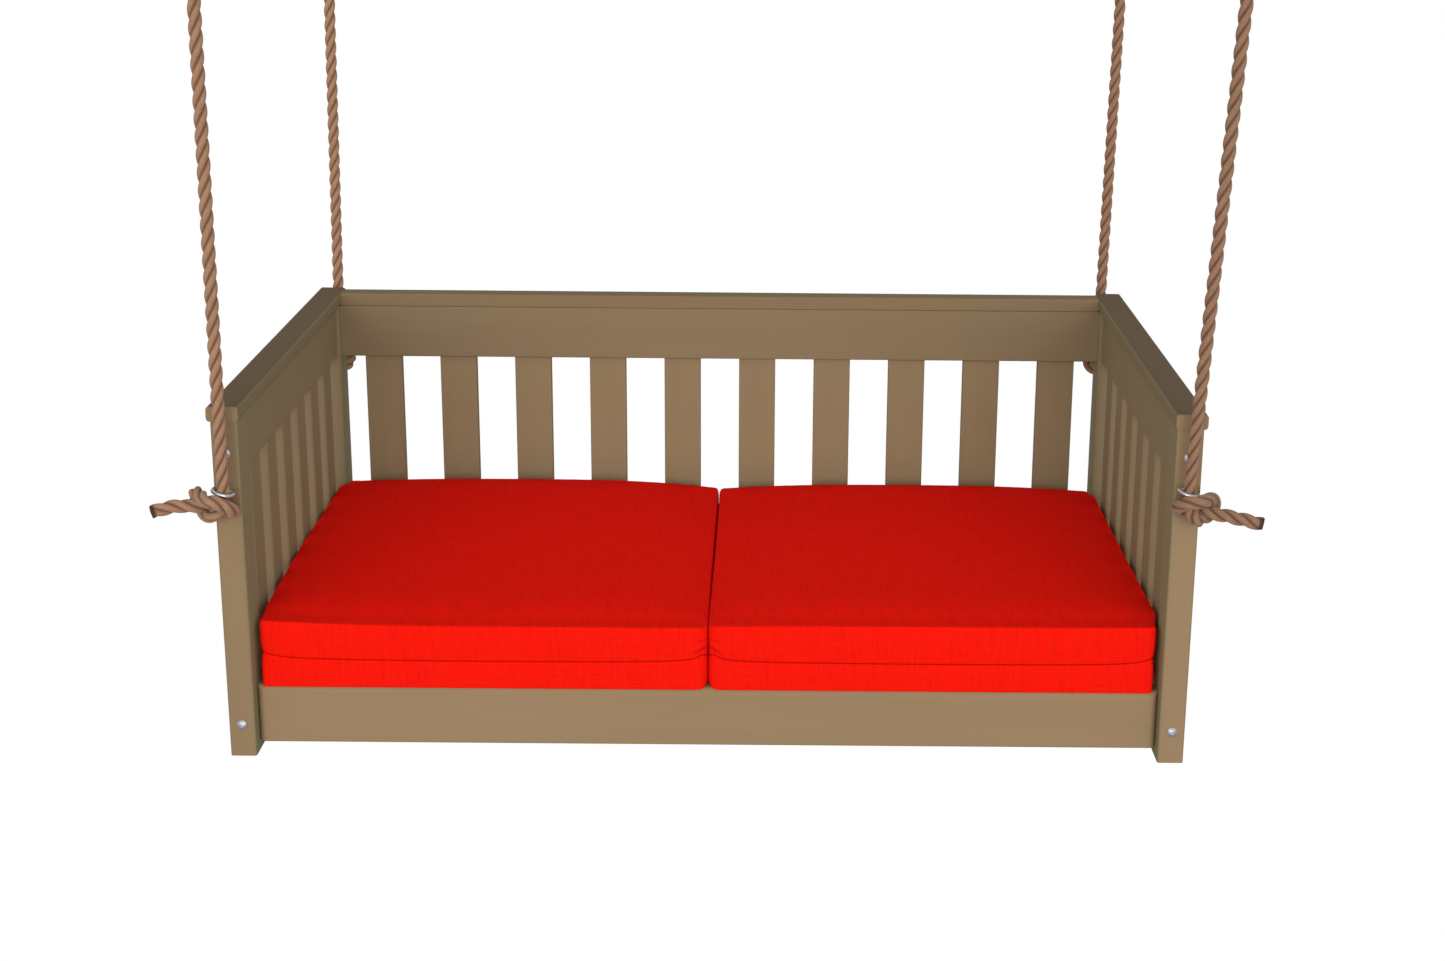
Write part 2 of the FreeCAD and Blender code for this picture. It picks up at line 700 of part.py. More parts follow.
def self_gap(wire, radius):
    """The least free gap between passes of one tube that are not neighbours."""
    spots = wire.discretize(int(wire.Length / 2.5))
    step = wire.Length / (len(spots) - 1)
    skip = int(math.ceil(3.5 * radius / step))
    least = 1e9
    for i in range(len(spots)):
        for j in range(i + skip, len(spots)):
            least = min(least, spots[i].sub(spots[j]).Length - 2 * radius)
    return least


# The stopper knot under each screw eye: one overhand knot.  The rope comes
# down through the ring, turns outboard and up, wraps across in front of
# itself, passes behind and leaves through the loop as a short tail.  X runs
# outboard, Y toward the post's face and Z up, from the ring's centre.
KNOT_LEVEL = [
    (0, 0, -11), (3, -4, -24), (9, -8, -43), (28, 16, -45), (42, 14, -29),
    (40, 7, -10), (29, -11, -4), (13, -31, -4), (-3, -28, -6), (-18, -13, -20),
    (-16, 8, -29), (5, 17, -32), (20, 10, -22), (28, -6, -28), (67, -12, -33),
    (104, -20, -39),
]
# the same knot drawn up askew, its outboard side high
KNOT_ASKEW = [
    (0, 0, -10.5), (0, -2, -22), (16, -10, -37), (34, 15, -44), (46, 15, -20),
    (41, 9, -2), (31, -10, -2), (16, -30, -4), (0, -26, -9), (-21, -12, -28),
    (-15, 10, -36), (6, 17, -34), (24, 8, -18), (36, -8, -24), (69, -8, -21),
    (100, -18, -24),
]
KNOTS = {"front_left": KNOT_ASKEW, "front_right": KNOT_LEVEL,
         "back_left": KNOT_LEVEL, "back_right": KNOT_ASKEW}

for end_name, end in ENDS:
    for side_name, side in SIDES:
        key = "%s_%s" % (end_name, side_name)
        route = [V(side * x, -end * y, z) for x, y, z in KNOTS[key]]
        wire, radii = routed_wire(route)
        print("knot_" + key, "arc radii", [round(r, 1) for r in radii])
        print("knot_" + key, "gap to itself", round(self_gap(wire, rope_radius), 2))
        place = FreeCAD.Placement(V(side * eye_x(end_name, side_name), end * eye_y,
                                    EYE_HEIGHT[side_name]), FreeCAD.Rotation())
        shaped("knot_" + key, tube_along(wire, rope_radius), place)

# ------------------------------- ceiling eyes, thimbles, loops and ropes
ring_major = size("ring_major")
ring_wire = size("ring_wire")
thimble_inner = size("thimble_inner")
thimble_wall = size("thimble_wall")
loop_radius = thimble_inner + thimble_wall + rope_radius
loop_drop = thimble_inner - ring_wire - size("pivot_gap")
LEANS = {}
for end_name, end in ENDS:
    for side_name, side in SIDES:
        key = "%s_%s" % (end_name, side_name)
        LEANS[key] = size("lean_" + key)

for end_name, end in ENDS:
    for side_name, side in SIDES:
        key = "%s_%s" % (end_name, side_name)
        top_x = side * post_x + LEANS[key]
        hang_z = -size("hang_drop_" + side_name)
        top = V(top_x, end * eye_y, hang_z)
        ring = doc.addObject("Part::Torus", "ceiling_ring_" + key)
        ring.setExpression("Radius1", "Sizes.ring_major")
        ring.setExpression("Radius2", "Sizes.ring_wire")
        ring.Placement = FreeCAD.Placement(V(top_x, end * eye_y, hang_z + ring_major),
                                           FreeCAD.Rotation(V(1, 0, 0), 90))
        neck_z = hang_z + 2 * ring_major
        shank = rod("ceiling_shank_" + key, "Sizes.ring_wire",
                    "Sizes.hang_drop_%s - 2 * Sizes.ring_major + Sizes.ring_thread"
                    % side_name,
                    (top_x, end * eye_y, neck_z), (0, 0, 1))
        collar = rod("ceiling_collar_" + key, "Sizes.ring_collar", "Sizes.ring_collar_tall",
                     (top_x, end * eye_y, -size("ring_collar_tall")), (0, 0, 1))
        finish(fused("ceiling_eye_fused_" + key, [ring, shank, collar]),
               "ceiling_eye_" + key)

        # the rope runs straight from the screw eye to the ceiling ring
        bottom = V(side * eye_x(end_name, side_name), end * eye_y, EYE_HEIGHT[side_name])
        lean = FreeCAD.Rotation(V(0, 0, -1), bottom.sub(top))
        hung = FreeCAD.Placement(top, lean)

        # thimble: a grooved steel liner round the top of the loop
        outer = rope_radius + thimble_wall
        around = loop_radius
        liner = Part.makeTorus(around, outer, V(0, 0, -loop_drop), V(1, 0, 0))
        groove = Part.makeTorus(around, rope_radius + fit_gap, V(0, 0, -loop_drop),
                                V(1, 0, 0))
        bore = Part.makeCylinder(around - 0.35 * rope_radius, 4 * outer,
                                 V(-2 * outer, 0, -loop_drop), V(1, 0, 0))
        liner = liner.common(bore).cut(groove)
        shaped("thimble_" + key, liner, hung)

        # the rope's eye: over the thimble, then both legs into the splice
        half = math.radians(32)
        legs_meet = around / math.sin(half)
        touch_z = -around * math.sin(half)
        touch_y = around * math.cos(half)
        neck = V(0, 0, -legs_meet)
        left_touch = V(0, -touch_y, touch_z)
        right_touch = V(0, touch_y, touch_z)
        drop = V(0, 0, -loop_drop)
        path = Part.Wire([
            Part.LineSegment(neck.add(drop), left_touch.add(drop)).toShape(),
            Part.Arc(left_touch.add(drop), V(0, 0, around).add(drop),
                     right_touch.add(drop)).toShape()])
        leg = Part.makeCylinder(rope_radius, right_touch.sub(neck).Length,
                                right_touch.add(drop), neck.sub(right_touch))
        splice_long = size("splice_long")
        splice_top = -legs_meet + 12 - loop_drop
        splice = Part.makeCone(size("splice_radius"), rope_radius, splice_long,
                               V(0, 0, splice_top), V(0, 0, -1))
        eye = tube_along(path, rope_radius).fuse([leg, splice])
        shaped("rope_eye_" + key, eye.removeSplitter(), hung)

        # the free stretch, round-ended where it hinges in the screw eye
        reach = bottom.sub(top).Length
        start = splice_top - splice_long
        straight = Part.makeCylinder(rope_radius, reach + start, V(0, 0, start), V(0, 0, -1))
        ball = Part.makeSphere(rope_radius, V(0, 0, -reach))
        shaped("rope_" + key, straight.fuse(ball).removeSplitter(), hung)


# ------------------------------------------------------------- cushions
def rounded_outline(wide, deep, corner, z):
    """A rectangle with round corners, centred on the origin."""
    x = wide / 2.0
    y = deep / 2.0
    c = corner
    bend = c * (1.0 - math.sqrt(0.5))
    line = Part.LineSegment
    parts = [
        line(V(-x + c, -y, z), V(x - c, -y, z)),
        Part.Arc(V(x - c, -y, z), V(x - bend, -y + bend, z), V(x, -y + c, z)),
        line(V(x, -y + c, z), V(x, y - c, z)),
        Part.Arc(V(x, y - c, z), V(x - bend, y - bend, z), V(x - c, y, z)),
        line(V(x - c, y, z), V(-x + c, y, z)),
        Part.Arc(V(-x + c, y, z), V(-x + bend, y - bend, z), V(-x, y - c, z)),
        line(V(-x, y - c, z), V(-x, -y + c, z)),
        Part.Arc(V(-x, -y + c, z), V(-x + bend, -y + bend, z), V(-x + c, -y, z)),
    ]
    return Part.Wire([part.toShape() for part in parts])


def cushion(name, centre_x):
    """A boxed cushion: a crisp fold round its top and sides drawn in at the seam."""
    tall = size("cushion_tall")
    edge = size("cushion_edge")
    draw = size("cushion_seam_draw")
    crown = size("cushion_crown")
    corner = size("cushion_corner")
    seam = 0.45 * tall
    # height and how far the outline stands in from the full size
    steps = [(0.0, 0.6 * edge), (0.25 * edge, 0.15 * edge), (0.7 * edge, 0.0),
             (seam - 6, 0.35 * draw), (seam, draw), (seam + 6, 0.35 * draw),
             (tall - 1.4 * edge, 0.0), (tall - 0.4 * edge, 0.3 * edge), (tall, edge),
             (tall + 0.45 * crown, 5 * edge), (tall + 0.8 * crown, 13 * edge),
             (tall + crown, 26 * edge)]
    outlines = []
    for z, inset in steps:
        radius = max(corner - 0.4 * inset, 0.35 * corner)
        outlines.append(rounded_outline(cushion_wide - 2 * inset,
                                        cushion_deep - 2 * inset, radius, z))
    y = cushion_front_y + cushion_deep / 2.0
    place = FreeCAD.Placement(V(centre_x, y, rail_low_top + size("seat_gap")),
                              FreeCAD.Rotation())
    shaped(name, Part.makeLoft(outlines, True, True), place)


cushion_x = (cushion_wide + size("cushion_gap")) / 2.0
cushion("left_cushion", -cushion_x)
cushion("right_cushion", cushion_x)

# ------------------------------------------------------ check and write
doc.recompute()
for obj in doc.Objects:
    if "Invalid" in obj.State or "Error" in obj.State:
        raise ValueError("failed: " + obj.Name)
os.makedirs("parts", exist_ok=True)
labels = [obj.Label for obj in FINISHED]
if len(labels) != len(set(labels)) or len(labels) > 60:
    raise ValueError("sub-part names")
for obj in FINISHED:
    if obj.Shape.isNull() or not obj.Shape.isValid():
        raise ValueError("bad shape: " + obj.Label)
    obj.Shape.exportStep("parts/" + obj.Label + ".step")
print(len(FINISHED), "sub-parts written")
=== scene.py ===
import math

import bpy
import numpy as np
from mathutils import Matrix, Vector


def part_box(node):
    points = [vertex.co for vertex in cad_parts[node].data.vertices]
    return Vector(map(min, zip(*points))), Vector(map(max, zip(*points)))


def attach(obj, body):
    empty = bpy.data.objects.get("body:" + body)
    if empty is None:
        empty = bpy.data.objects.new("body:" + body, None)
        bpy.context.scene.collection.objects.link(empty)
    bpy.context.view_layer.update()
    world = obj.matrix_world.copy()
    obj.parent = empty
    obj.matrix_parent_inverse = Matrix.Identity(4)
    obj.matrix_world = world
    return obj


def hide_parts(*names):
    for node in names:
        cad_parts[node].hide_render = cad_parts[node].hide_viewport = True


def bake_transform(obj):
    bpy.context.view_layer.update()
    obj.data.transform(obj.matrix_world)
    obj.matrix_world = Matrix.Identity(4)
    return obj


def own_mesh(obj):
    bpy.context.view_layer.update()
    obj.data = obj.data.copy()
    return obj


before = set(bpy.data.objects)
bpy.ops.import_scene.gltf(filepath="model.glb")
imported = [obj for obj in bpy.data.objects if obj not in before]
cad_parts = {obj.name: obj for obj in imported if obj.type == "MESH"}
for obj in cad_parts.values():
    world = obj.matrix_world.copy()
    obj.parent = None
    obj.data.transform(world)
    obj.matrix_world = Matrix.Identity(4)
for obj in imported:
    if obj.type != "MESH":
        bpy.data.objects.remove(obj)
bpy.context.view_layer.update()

# ---------------------------------------------------------------- places
# Metres, in the frame of the CAD model: origin in the beam's underside,
# +Z up, the open front toward -Y.
SIDE = {"left": -1.0, "right": 1.0}
END = {"front": -1.0, "back": 1.0}
POST_X = 0.6795         # the middle of a post
# the seat's screw eyes, and how far each sits inside its post's middle
EYE_Y = 0.4402
EYE_Z = {"left": -0.889, "right": -0.879}
EYE_INSET = {"front_left": 0.0, "front_right": 0.0025,
             "back_left": 0.002, "back_right": 0.009}
# from a screw eye up to its ceiling eye, and how far the rope leans toward +X
ROPE_DROP = 0.809
LEAN = {"front_left": 0.003, "front_right": 0.039,
        "back_left": 0.0145, "back_right": 0.003}

# ---------------------------------------------------------------- camera


def camera_at(place, yaw, pitch, roll, lens, shift_x):
    """A camera looking along +Y, turned by yaw to +X, pitched down, rolled."""
    forward = Vector((math.sin(yaw) * math.cos(pitch), math.cos(yaw) * math.cos(pitch),
                      -math.sin(pitch)))
    right = forward.cross(Vector((0, 0, 1))).normalized()
    up = right.cross(forward)
    across = math.cos(roll) * right + math.sin(roll) * up
    above = -math.sin(roll) * right + math.cos(roll) * up
    turn = Matrix((across, above, -forward)).transposed().to_4x4()
    data = bpy.data.cameras.new("camera")
    data.sensor_fit = "HORIZONTAL"
    data.sensor_width = 36.0
    data.lens = lens
    data.shift_x = shift_x
    data.clip_start = 0.05
    data.clip_end = 60.0
    camera = bpy.data.objects.new("camera", data)
    bpy.context.scene.collection.objects.link(camera)
    camera.matrix_world = Matrix.Translation(place) @ turn
    bpy.context.scene.camera = camera


camera_at(Vector((0.0839, -3.4541, 0.0236)), yaw=math.radians(0.15),
          pitch=math.radians(16.43), roll=math.radians(0.51), lens=55.84, shift_x=-0.0345)


# ------------------------------------------------------------- materials
class Nodes:
    """A material's node tree, with short ways to add and join nodes."""

    def __init__(self, name):
        self.material = bpy.data.materials.new(name)
        self.material.use_nodes = True
        self.tree = self.material.node_tree
        self.tree.nodes.clear()
        self.out = self.tree.nodes.new("ShaderNodeOutputMaterial")
        self.shader = self.add("ShaderNodeBsdfPrincipled")
        self.join(self.shader.outputs[0], self.out.inputs["Surface"])

    def add(self, kind, **values):
        node = self.tree.nodes.new(kind)
        for key, value in values.items():
            setattr(node, key, value)
        return node

    def join(self, source, target):
        self.tree.links.new(source, target)

    def feed(self, socket, value):
        if isinstance(value, bpy.types.NodeSocket):
            self.join(value, socket)
        else:
            socket.default_value = value

    def math(self, operation, a, b=0.0, c=0.0):
        node = self.add("ShaderNodeMath", operation=operation)
        for socket, value in zip(node.inputs, (a, b, c)):
            self.feed(socket, value)
        return node.outputs[0]

    def noise(self, vector, scale, detail=3.0, rough=0.55):
        node = self.add("ShaderNodeTexNoise")
        self.join(vector, node.inputs["Vector"])
        node.inputs["Scale"].default_value = scale
        node.inputs["Detail"].default_value = detail
        node.inputs["Roughness"].default_value = rough
        return node.outputs[0]

    def stretch(self, vector, scale):
        node = self.add("ShaderNodeMapping")
        self.join(vector, node.inputs["Vector"])
        node.inputs["Scale"].default_value = scale
        return node.outputs[0]

    def place(self):
        return self.add("ShaderNodeTexCoord").outputs["Object"]

    def ramp(self, value, low, high):
        """Black up to low, white from high."""
        node = self.add("ShaderNodeValToRGB")
        self.feed(node.inputs[0], value)
        for element, at, level in zip(node.color_ramp.elements, (low, high), (0.0, 1.0)):
            element.position = at
            element.color = (level, level, level, 1.0)
        return node.outputs[0]

    def split(self, vector):
        """The vector's X, Y and Z."""
        node = self.add("ShaderNodeSeparateXYZ")
        self.join(vector, node.inputs[0])
        return node.outputs[0], node.outputs[1], node.outputs[2]

    def attribute(self, name, output="Fac"):
        return self.add("ShaderNodeAttribute", attribute_name=name).outputs[output]

    def mix(self, factor, a, b, blend="MIX"):
        node = self.add("ShaderNodeMix", data_type="RGBA", blend_type=blend)
        self.feed(node.inputs["Factor"], factor)
        for socket, value in ((node.inputs[6], a), (node.inputs[7], b)):
            if isinstance(value, tuple):
                value = (*value, 1.0)
            self.feed(socket, value)
        return node.outputs[2]

    def bump(self, height, distance, strength=1.0):
        node = self.add("ShaderNodeBump")
        self.join(height, node.inputs["Height"])
        node.inputs["Distance"].default_value = distance
        node.inputs["Strength"].default_value = strength
        self.join(node.outputs[0], self.shader.inputs["Normal"])

    def set(self, **values):
        for key, value in values.items():
            self.feed(self.shader.inputs[key.replace("_", " ")], value)
        return self.material


def shade(colour, factor):
    return tuple(channel * factor for channel in colour)


LUMBER = (0.262, 0.177, 0.095)
# painted light: the arm and back colours below are the wood's colour made less red, against
# the red light the cushions throw on those parts; the back cap's is also darker, as painted
# shade on its top
ARM_LUMBER_AND_PAINTED_LIGHT = (0.224, 0.167, 0.093)
# painted light: a cooler colour for the faces that look across the seat, painted against
# the red light the cushions throw on them
INNER_FACE_PAINTED_LIGHT = (0.240, 0.218, 0.118)
BACK_RAIL_LUMBER_AND_PAINTED_LIGHT = (0.206, 0.160, 0.088)
BACK_POST_LUMBER_AND_PAINTED_LIGHT = (0.222, 0.174, 0.095)
BACK_SLAT_LUMBER_AND_PAINTED_LIGHT = (0.236, 0.182, 0.098)
BACK_CAP_LUMBER_AND_PAINTED_SHADE = (0.205, 0.149, 0.080)


def lumber(name, along, tone_and_painted_light=1.0, stain_and_painted_light=LUMBER, inner=0.0, painted_inner_tone=1.0, unshaded_end_tone=0.0):
    """Solid-stained lumber: an even coat with the grain just telling through.

    The faces that look across the seat (along inner * X) are painted a cooler colour
    as painted light: the red cushions throw their colour on them, and the photograph
    shows them neutral. The third argument scales the whole colour, partly the part's
    own colour and partly painted light and shade. The last argument, if given, is the
    level of the sawn end faces that look along Y, kept out of the painted shade that a
    dark overall level lays on a cap's top.
    """
    n = Nodes(name)
    place = n.place()
    # noise cells per metre, across the grain and along it
    fine = [520.0, 520.0, 520.0]
    fine[along] = 9.0
    broad = [26.0, 26.0, 26.0]
    broad[along] = 1.6
    streaks = n.noise(n.stretch(place, fine), 1.0, 4.0, 0.6)
    bands = n.noise(n.stretch(place, broad), 1.0, 3.0, 0.5)
    blotch = n.noise(place, 5.5, 2.0, 0.5)
    base = shade(stain_and_painted_light, tone_and_painted_light)
    colour = n.mix(n.ramp(bands, 0.30, 0.72), shade(base, 0.955), shade(base, 1.04))
    colour = n.mix(n.math("MULTIPLY", streaks, 0.30), colour, shade(base, 0.80))
    colour = n.mix(n.math("MULTIPLY", blotch, 0.22), colour, shade(base, 1.10))
    # painted light: the faces that look along inner * X get the cooler colour, against the
    # cushions' red light on them
    if inner:
        face_x, face_y, _ = n.split(n.add("ShaderNodeTexCoord").outputs["Normal"])
        across = n.ramp(n.math("MULTIPLY", face_x, inner), 0.45, 0.85)
        colour = n.mix(across, colour, shade(INNER_FACE_PAINTED_LIGHT, painted_inner_tone))
        # painted shade: on a cap, the sawn end faces that look along Y get their plain
        # level back, while its top keeps the dark level painted for the shade there
        if unshaded_end_tone:
            unshaded_end_mask = n.ramp(n.math("ABSOLUTE", face_y), 0.55, 0.90)
            colour = n.mix(unshaded_end_mask, colour, shade(stain_and_painted_light, unshaded_end_tone))
    height = n.math("ADD", n.math("MULTIPLY", streaks, 0.8), n.math("MULTIPLY", bands, 0.5))
    n.bump(height, 0.0006, 0.30)
    rough = n.math("MULTIPLY_ADD", streaks, 0.22, 0.60)
    return n.set(Base_Color=colour, Roughness=rough, Specular_IOR_Level=0.14)


def bare_wood(name):
    """Unstained wood, for the dowels inside the joints."""
    n = Nodes(name)
    place = n.place()
    rings = n.noise(n.stretch(place, (300.0, 300.0, 30.0)), 1.0, 4.0)
    colour = n.mix(rings, (0.36, 0.24, 0.13), (0.52, 0.38, 0.22))
    n.bump(rings, 0.0004, 0.3)
    return n.set(Base_Color=colour, Roughness=0.6)


def zinc(name, colour=(0.62, 0.65, 0.70), rough=0.22):
    """Bright zinc plate: cloudy, with a bluish cast and faint draw marks."""
    n = Nodes(name)
    place = n.place()
    cloud = n.noise(place, 260.0, 3.0)
    fine = n.noise(place, 2200.0, 2.0)
    tint = n.mix(cloud, shade(colour, 0.86), shade(colour, 1.14))
    n.bump(fine, 0.00008, 0.35)
    roughness = n.math("MULTIPLY_ADD", cloud, 0.22, rough)
    return n.set(Base_Color=tint, Metallic=1.0, Roughness=roughness)


ROPE = (0.292, 0.152, 0.086)
ROPE_LIGHT = (0.46, 0.274, 0.166)
# painted shade for the grooves between the strands
ROPE_GROOVE_SHADE = (0.125, 0.056, 0.031)
ROPE_BURNT = (0.060, 0.026, 0.018)
ROPE_R = 0.0095
LAY_LENGTH = 0.072      # along the rope, one turn of a strand
YARNS = 5.0             # seen across a strand


def rope_fibre(name, tone_and_painted_light):
    """Twisted manila-like rope: yarns on each strand, with painted shade in the grooves and
    between the yarns.
    """
    n = Nodes(name)
    u, v, _ = n.split(n.add("ShaderNodeUVMap", uv_map="laid").outputs[0])
    groove = n.attribute("groove")
    burnt = n.attribute("burnt")
    place = n.place()
    wander = n.math("MULTIPLY", n.noise(place, 160.0, 3.0), 0.35)
    yarn_at = n.math("ADD", n.math("MULTIPLY_ADD", v, 3.0 / LAY_LENGTH, u), wander)
    yarn = n.math("SINE", n.math("MULTIPLY", yarn_at, 2 * math.pi * YARNS))
    yarn = n.math("MULTIPLY_ADD", yarn, 0.5, 0.5)
    fibre_place = n.add("ShaderNodeCombineXYZ")
    n.join(n.math("MULTIPLY", yarn_at, 46.0), fibre_place.inputs[0])
    n.join(n.math("MULTIPLY", v, 160.0), fibre_place.inputs[1])
    fibre = n.noise(fibre_place.outputs[0], 1.0, 4.0, 0.65)
    patch = n.noise(place, 48.0, 3.0)
    colour = n.mix(n.ramp(patch, 0.30, 0.70),
                   shade(ROPE, 0.84 * tone_and_painted_light), shade(ROPE, 1.12 * tone_and_painted_light))
    colour = n.mix(n.ramp(fibre, 0.35, 0.75), colour, shade(ROPE_LIGHT, tone_and_painted_light))
    # painted shade: darker between the yarns
    colour = n.mix(n.math("MULTIPLY", n.math("SUBTRACT", 1.0, yarn), 0.25), colour,
                   shade(ROPE, 0.55))
    # painted shade: dark in the grooves between the strands
    deep = n.ramp(groove, 0.30, 1.0)
    colour = n.mix(deep, colour, shade(ROPE_GROOVE_SHADE, tone_and_painted_light))
    colour = n.mix(burnt, colour, ROPE_BURNT)
    height = n.math("ADD", n.math("MULTIPLY", yarn, 0.6), n.math("MULTIPLY", fibre, 0.8))
    n.bump(height, 0.0011, 0.55)
    return n.set(Base_Color=colour, Roughness=0.86, Specular_IOR_Level=0.18,
                 Sheen_Weight=0.12, Sheen_Roughness=0.5)


CLOTH = (0.80, 0.0085, 0.0032)
# painted shade along the sewn-in seam
SEAM_SHADE = (0.22, 0.002, 0.001)
CREASE_SHADE = (0.25, 0.002, 0.001)
WEAVE_PITCH = 0.0016
# Creases in a cushion's front wall, from its inner corner: height there, slope and
# length (metres), and depth (a share). Heights are over the seam, less 10 mm.
CREASES = ((0.0245, -0.05, 0.020, 0.55), (0.0140, -0.55, 0.019, 1.0))
CREASE_HALF = 0.0013    # half the width of a crease's dark line
CREASE_DEPTH = 0.0020


def cloth(name):
    """Plain-woven outdoor cloth with slubs in both directions."""
    n = Nodes(name)
    place = n.place()
    x, y, z = n.split(place)
    turns = 2 * math.pi / WEAVE_PITCH
    warp = n.math("SINE", n.math("MULTIPLY", x, turns))
    weft = n.math("SINE", n.math("MULTIPLY", n.math("ADD", y, z), turns))
    weave = n.math("MULTIPLY", warp, weft)
    slub_x = n.noise(n.stretch(place, (40.0, 800.0, 800.0)), 1.0, 3.0)
    slub_y = n.noise(n.stretch(place, (380.0, 24.0, 24.0)), 1.0, 3.0)
    slubs = n.math("ADD", slub_x, slub_y)
    blotch = n.noise(place, 9.0, 3.0)
    colour = n.mix(n.ramp(slubs, 0.80, 1.20), shade(CLOTH, 0.90), shade(CLOTH, 1.05))
    colour = n.mix(n.math("MULTIPLY", blotch, 0.25), colour, shade(CLOTH, 0.92))
    # painted shade along the seam, where it is drawn in
    colour = n.mix(n.attribute("seam"), colour, SEAM_SHADE)
    # a dark line along each modelled crease
    reach, rise, depth = n.split(n.attribute("from_corner", "Vector"))
    creases = None
    for start, slope, long, deep in CREASES:
        off = n.math("SUBTRACT", rise, n.math("MULTIPLY_ADD", reach, slope, start))
        line = n.math("POWER", n.math("MULTIPLY", off, 1 / CREASE_HALF), 2.0)
        fade = n.math("POWER", n.math("MULTIPLY", reach, 1 / long), 4.0)
        back = n.math("POWER", n.math("MULTIPLY", depth, 1 / 0.02), 4.0)
        total = n.math("ADD", n.math("ADD", line, fade), back)
        crease = n.math("EXPONENT", n.math("MULTIPLY", total, -1.0))
        crease = n.math("MULTIPLY", crease, deep)
        creases = crease if creases is None else n.math("MAXIMUM", creases, crease)
    colour = n.mix(n.math("MULTIPLY", creases, 0.62), colour, CREASE_SHADE)
    height = n.math("ADD", n.math("MULTIPLY", weave, 0.22), n.math("MULTIPLY", slubs, 0.8))
    n.bump(height, 0.0006, 0.35)
    return n.set(Base_Color=colour, Roughness=0.95, Specular_IOR_Level=0.02)


# painted light: the same wood is painted lighter or darker part by part (left posts darker,
# right posts and front rail lighter) for how the light falls on each
WOOD_LEFT = lumber("lumber_left_posts", 2, 0.95, inner=1.0)
WOOD_RIGHT = lumber("lumber_right_posts", 2, 1.06, inner=-1.0)
WOOD_FRONT = lumber("lumber_front_rail", 0, 1.07)
WOOD_BACK = lumber("lumber_back_rails", 0, stain_and_painted_light=BACK_RAIL_LUMBER_AND_PAINTED_LIGHT)
WOOD_BACK_POST = {side: lumber("lumber_back_%s_post" % side, 2, 0.95, BACK_POST_LUMBER_AND_PAINTED_LIGHT,
                               -SIDE[side], 0.92) for side in SIDE}
WOOD_SLAT = lumber("lumber_back_slats", 2, stain_and_painted_light=BACK_SLAT_LUMBER_AND_PAINTED_LIGHT)
WOOD_ARM_Y = {side: lumber("lumber_%s_arm_rails" % side, 1, 1.0, ARM_LUMBER_AND_PAINTED_LIGHT, -SIDE[side])
              for side in SIDE}
WOOD_ARM_Z = {side: lumber("lumber_%s_arm_slats" % side, 2, 1.0, ARM_LUMBER_AND_PAINTED_LIGHT, -SIDE[side])
              for side in SIDE}
WOOD_DECK = lumber("lumber_deck", 1, 0.95)
# painted shade: the arm caps are painted at about half the level, for the shade on their
# tops; their sawn end faces keep a plain level
WOOD_CAP = {side: lumber("lumber_%s_arm_cap" % side, 1, 0.55, inner=-SIDE[side],
                         painted_inner_tone=0.84, unshaded_end_tone=0.97) for side in SIDE}
WOOD_CAP_X = lumber("lumber_back_cap", 0, stain_and_painted_light=BACK_CAP_LUMBER_AND_PAINTED_SHADE)
HIDDEN = bare_wood("hidden_wood")
ZINC = zinc("zinc_plate")
STEEL = zinc("bolt_steel", (0.50, 0.51, 0.56), 0.30)
# painted shade: the right ropes are painted darker than the left ones, for less light
# falling on them
FIBRE = {"left": rope_fibre("rope_fibre_left", 1.04),
         "right": rope_fibre("rope_fibre_right", 0.84)}
RED = cloth("red_cloth")


def dress(node, material):
    """Give a CAD node one material for all its faces."""
    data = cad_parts[node].data
    if not data.materials:
        data.materials.append(material)
    for index in range(len(data.materials)):
        data.materials[index] = material


for end in END:
    for side, wood in (("left", WOOD_LEFT), ("right", WOOD_RIGHT)):
        dress("%s_%s_post" % (end, side), wood if end == "front" else WOOD_BACK_POST[side])
        dress("screw_eye_%s_%s" % (end, side), ZINC)
        dress("ceiling_eye_%s_%s" % (end, side), ZINC)
        dress("thimble_%s_%s" % (end, side), ZINC)
dress("front_rail", WOOD_FRONT)
for node in ("back_top_rail", "back_bottom_rail", "front_cleat", "back_cleat"):
    dress(node, WOOD_BACK)
dress("back_cap", WOOD_CAP_X)
for side in SIDE:
    dress(side + "_arm_top_rail", WOOD_ARM_Y[side])
    dress(side + "_arm_bottom_rail", WOOD_ARM_Y[side])
    dress(side + "_arm_cap", WOOD_CAP[side])
    dress(side + "_arm_slats", WOOD_ARM_Z[side])
dress("back_slats", WOOD_SLAT)
dress("deck_slats", WOOD_DECK)
dress("frame_bolts", STEEL)
dress("barrel_nuts", STEEL)
dress("rail_dowels", HIDDEN)
dress("cap_dowels", HIDDEN)


# ----------------------------------------------------------------- ropes
def smooth_line(points):
    """Points along the smooth curve that a route's points control."""
    curve = bpy.data.curves.new("route", "CURVE")
    curve.dimensions = "3D"
    curve.resolution_u = 24
    spline = curve.splines.new("NURBS")
    spline.points.add(len(points) - 1)
    for target, point in zip(spline.points, points):
        target.co = (*point, 1.0)
    spline.order_u = 3
    spline.use_endpoint_u = True
    carrier = bpy.data.objects.new("route", curve)
    bpy.context.scene.collection.objects.link(carrier)
    bpy.context.view_layer.update()
    mesh = bpy.data.meshes.new_from_object(carrier)
    line = np.array([vertex.co[:] for vertex in mesh.vertices])
    bpy.data.objects.remove(carrier)
    bpy.data.curves.remove(curve)
    bpy.data.meshes.remove(mesh)
    return line


def evenly(line, step):
    """The same line with its points spaced evenly."""
    walked = np.r_[0.0, np.cumsum(np.linalg.norm(np.diff(line, axis=0), axis=1))]
    count = int(round(walked[-1] / step)) + 1
    at = np.linspace(0.0, walked[-1], count)
    return np.column_stack([np.interp(at, walked, line[:, k]) for k in range(3)]), at


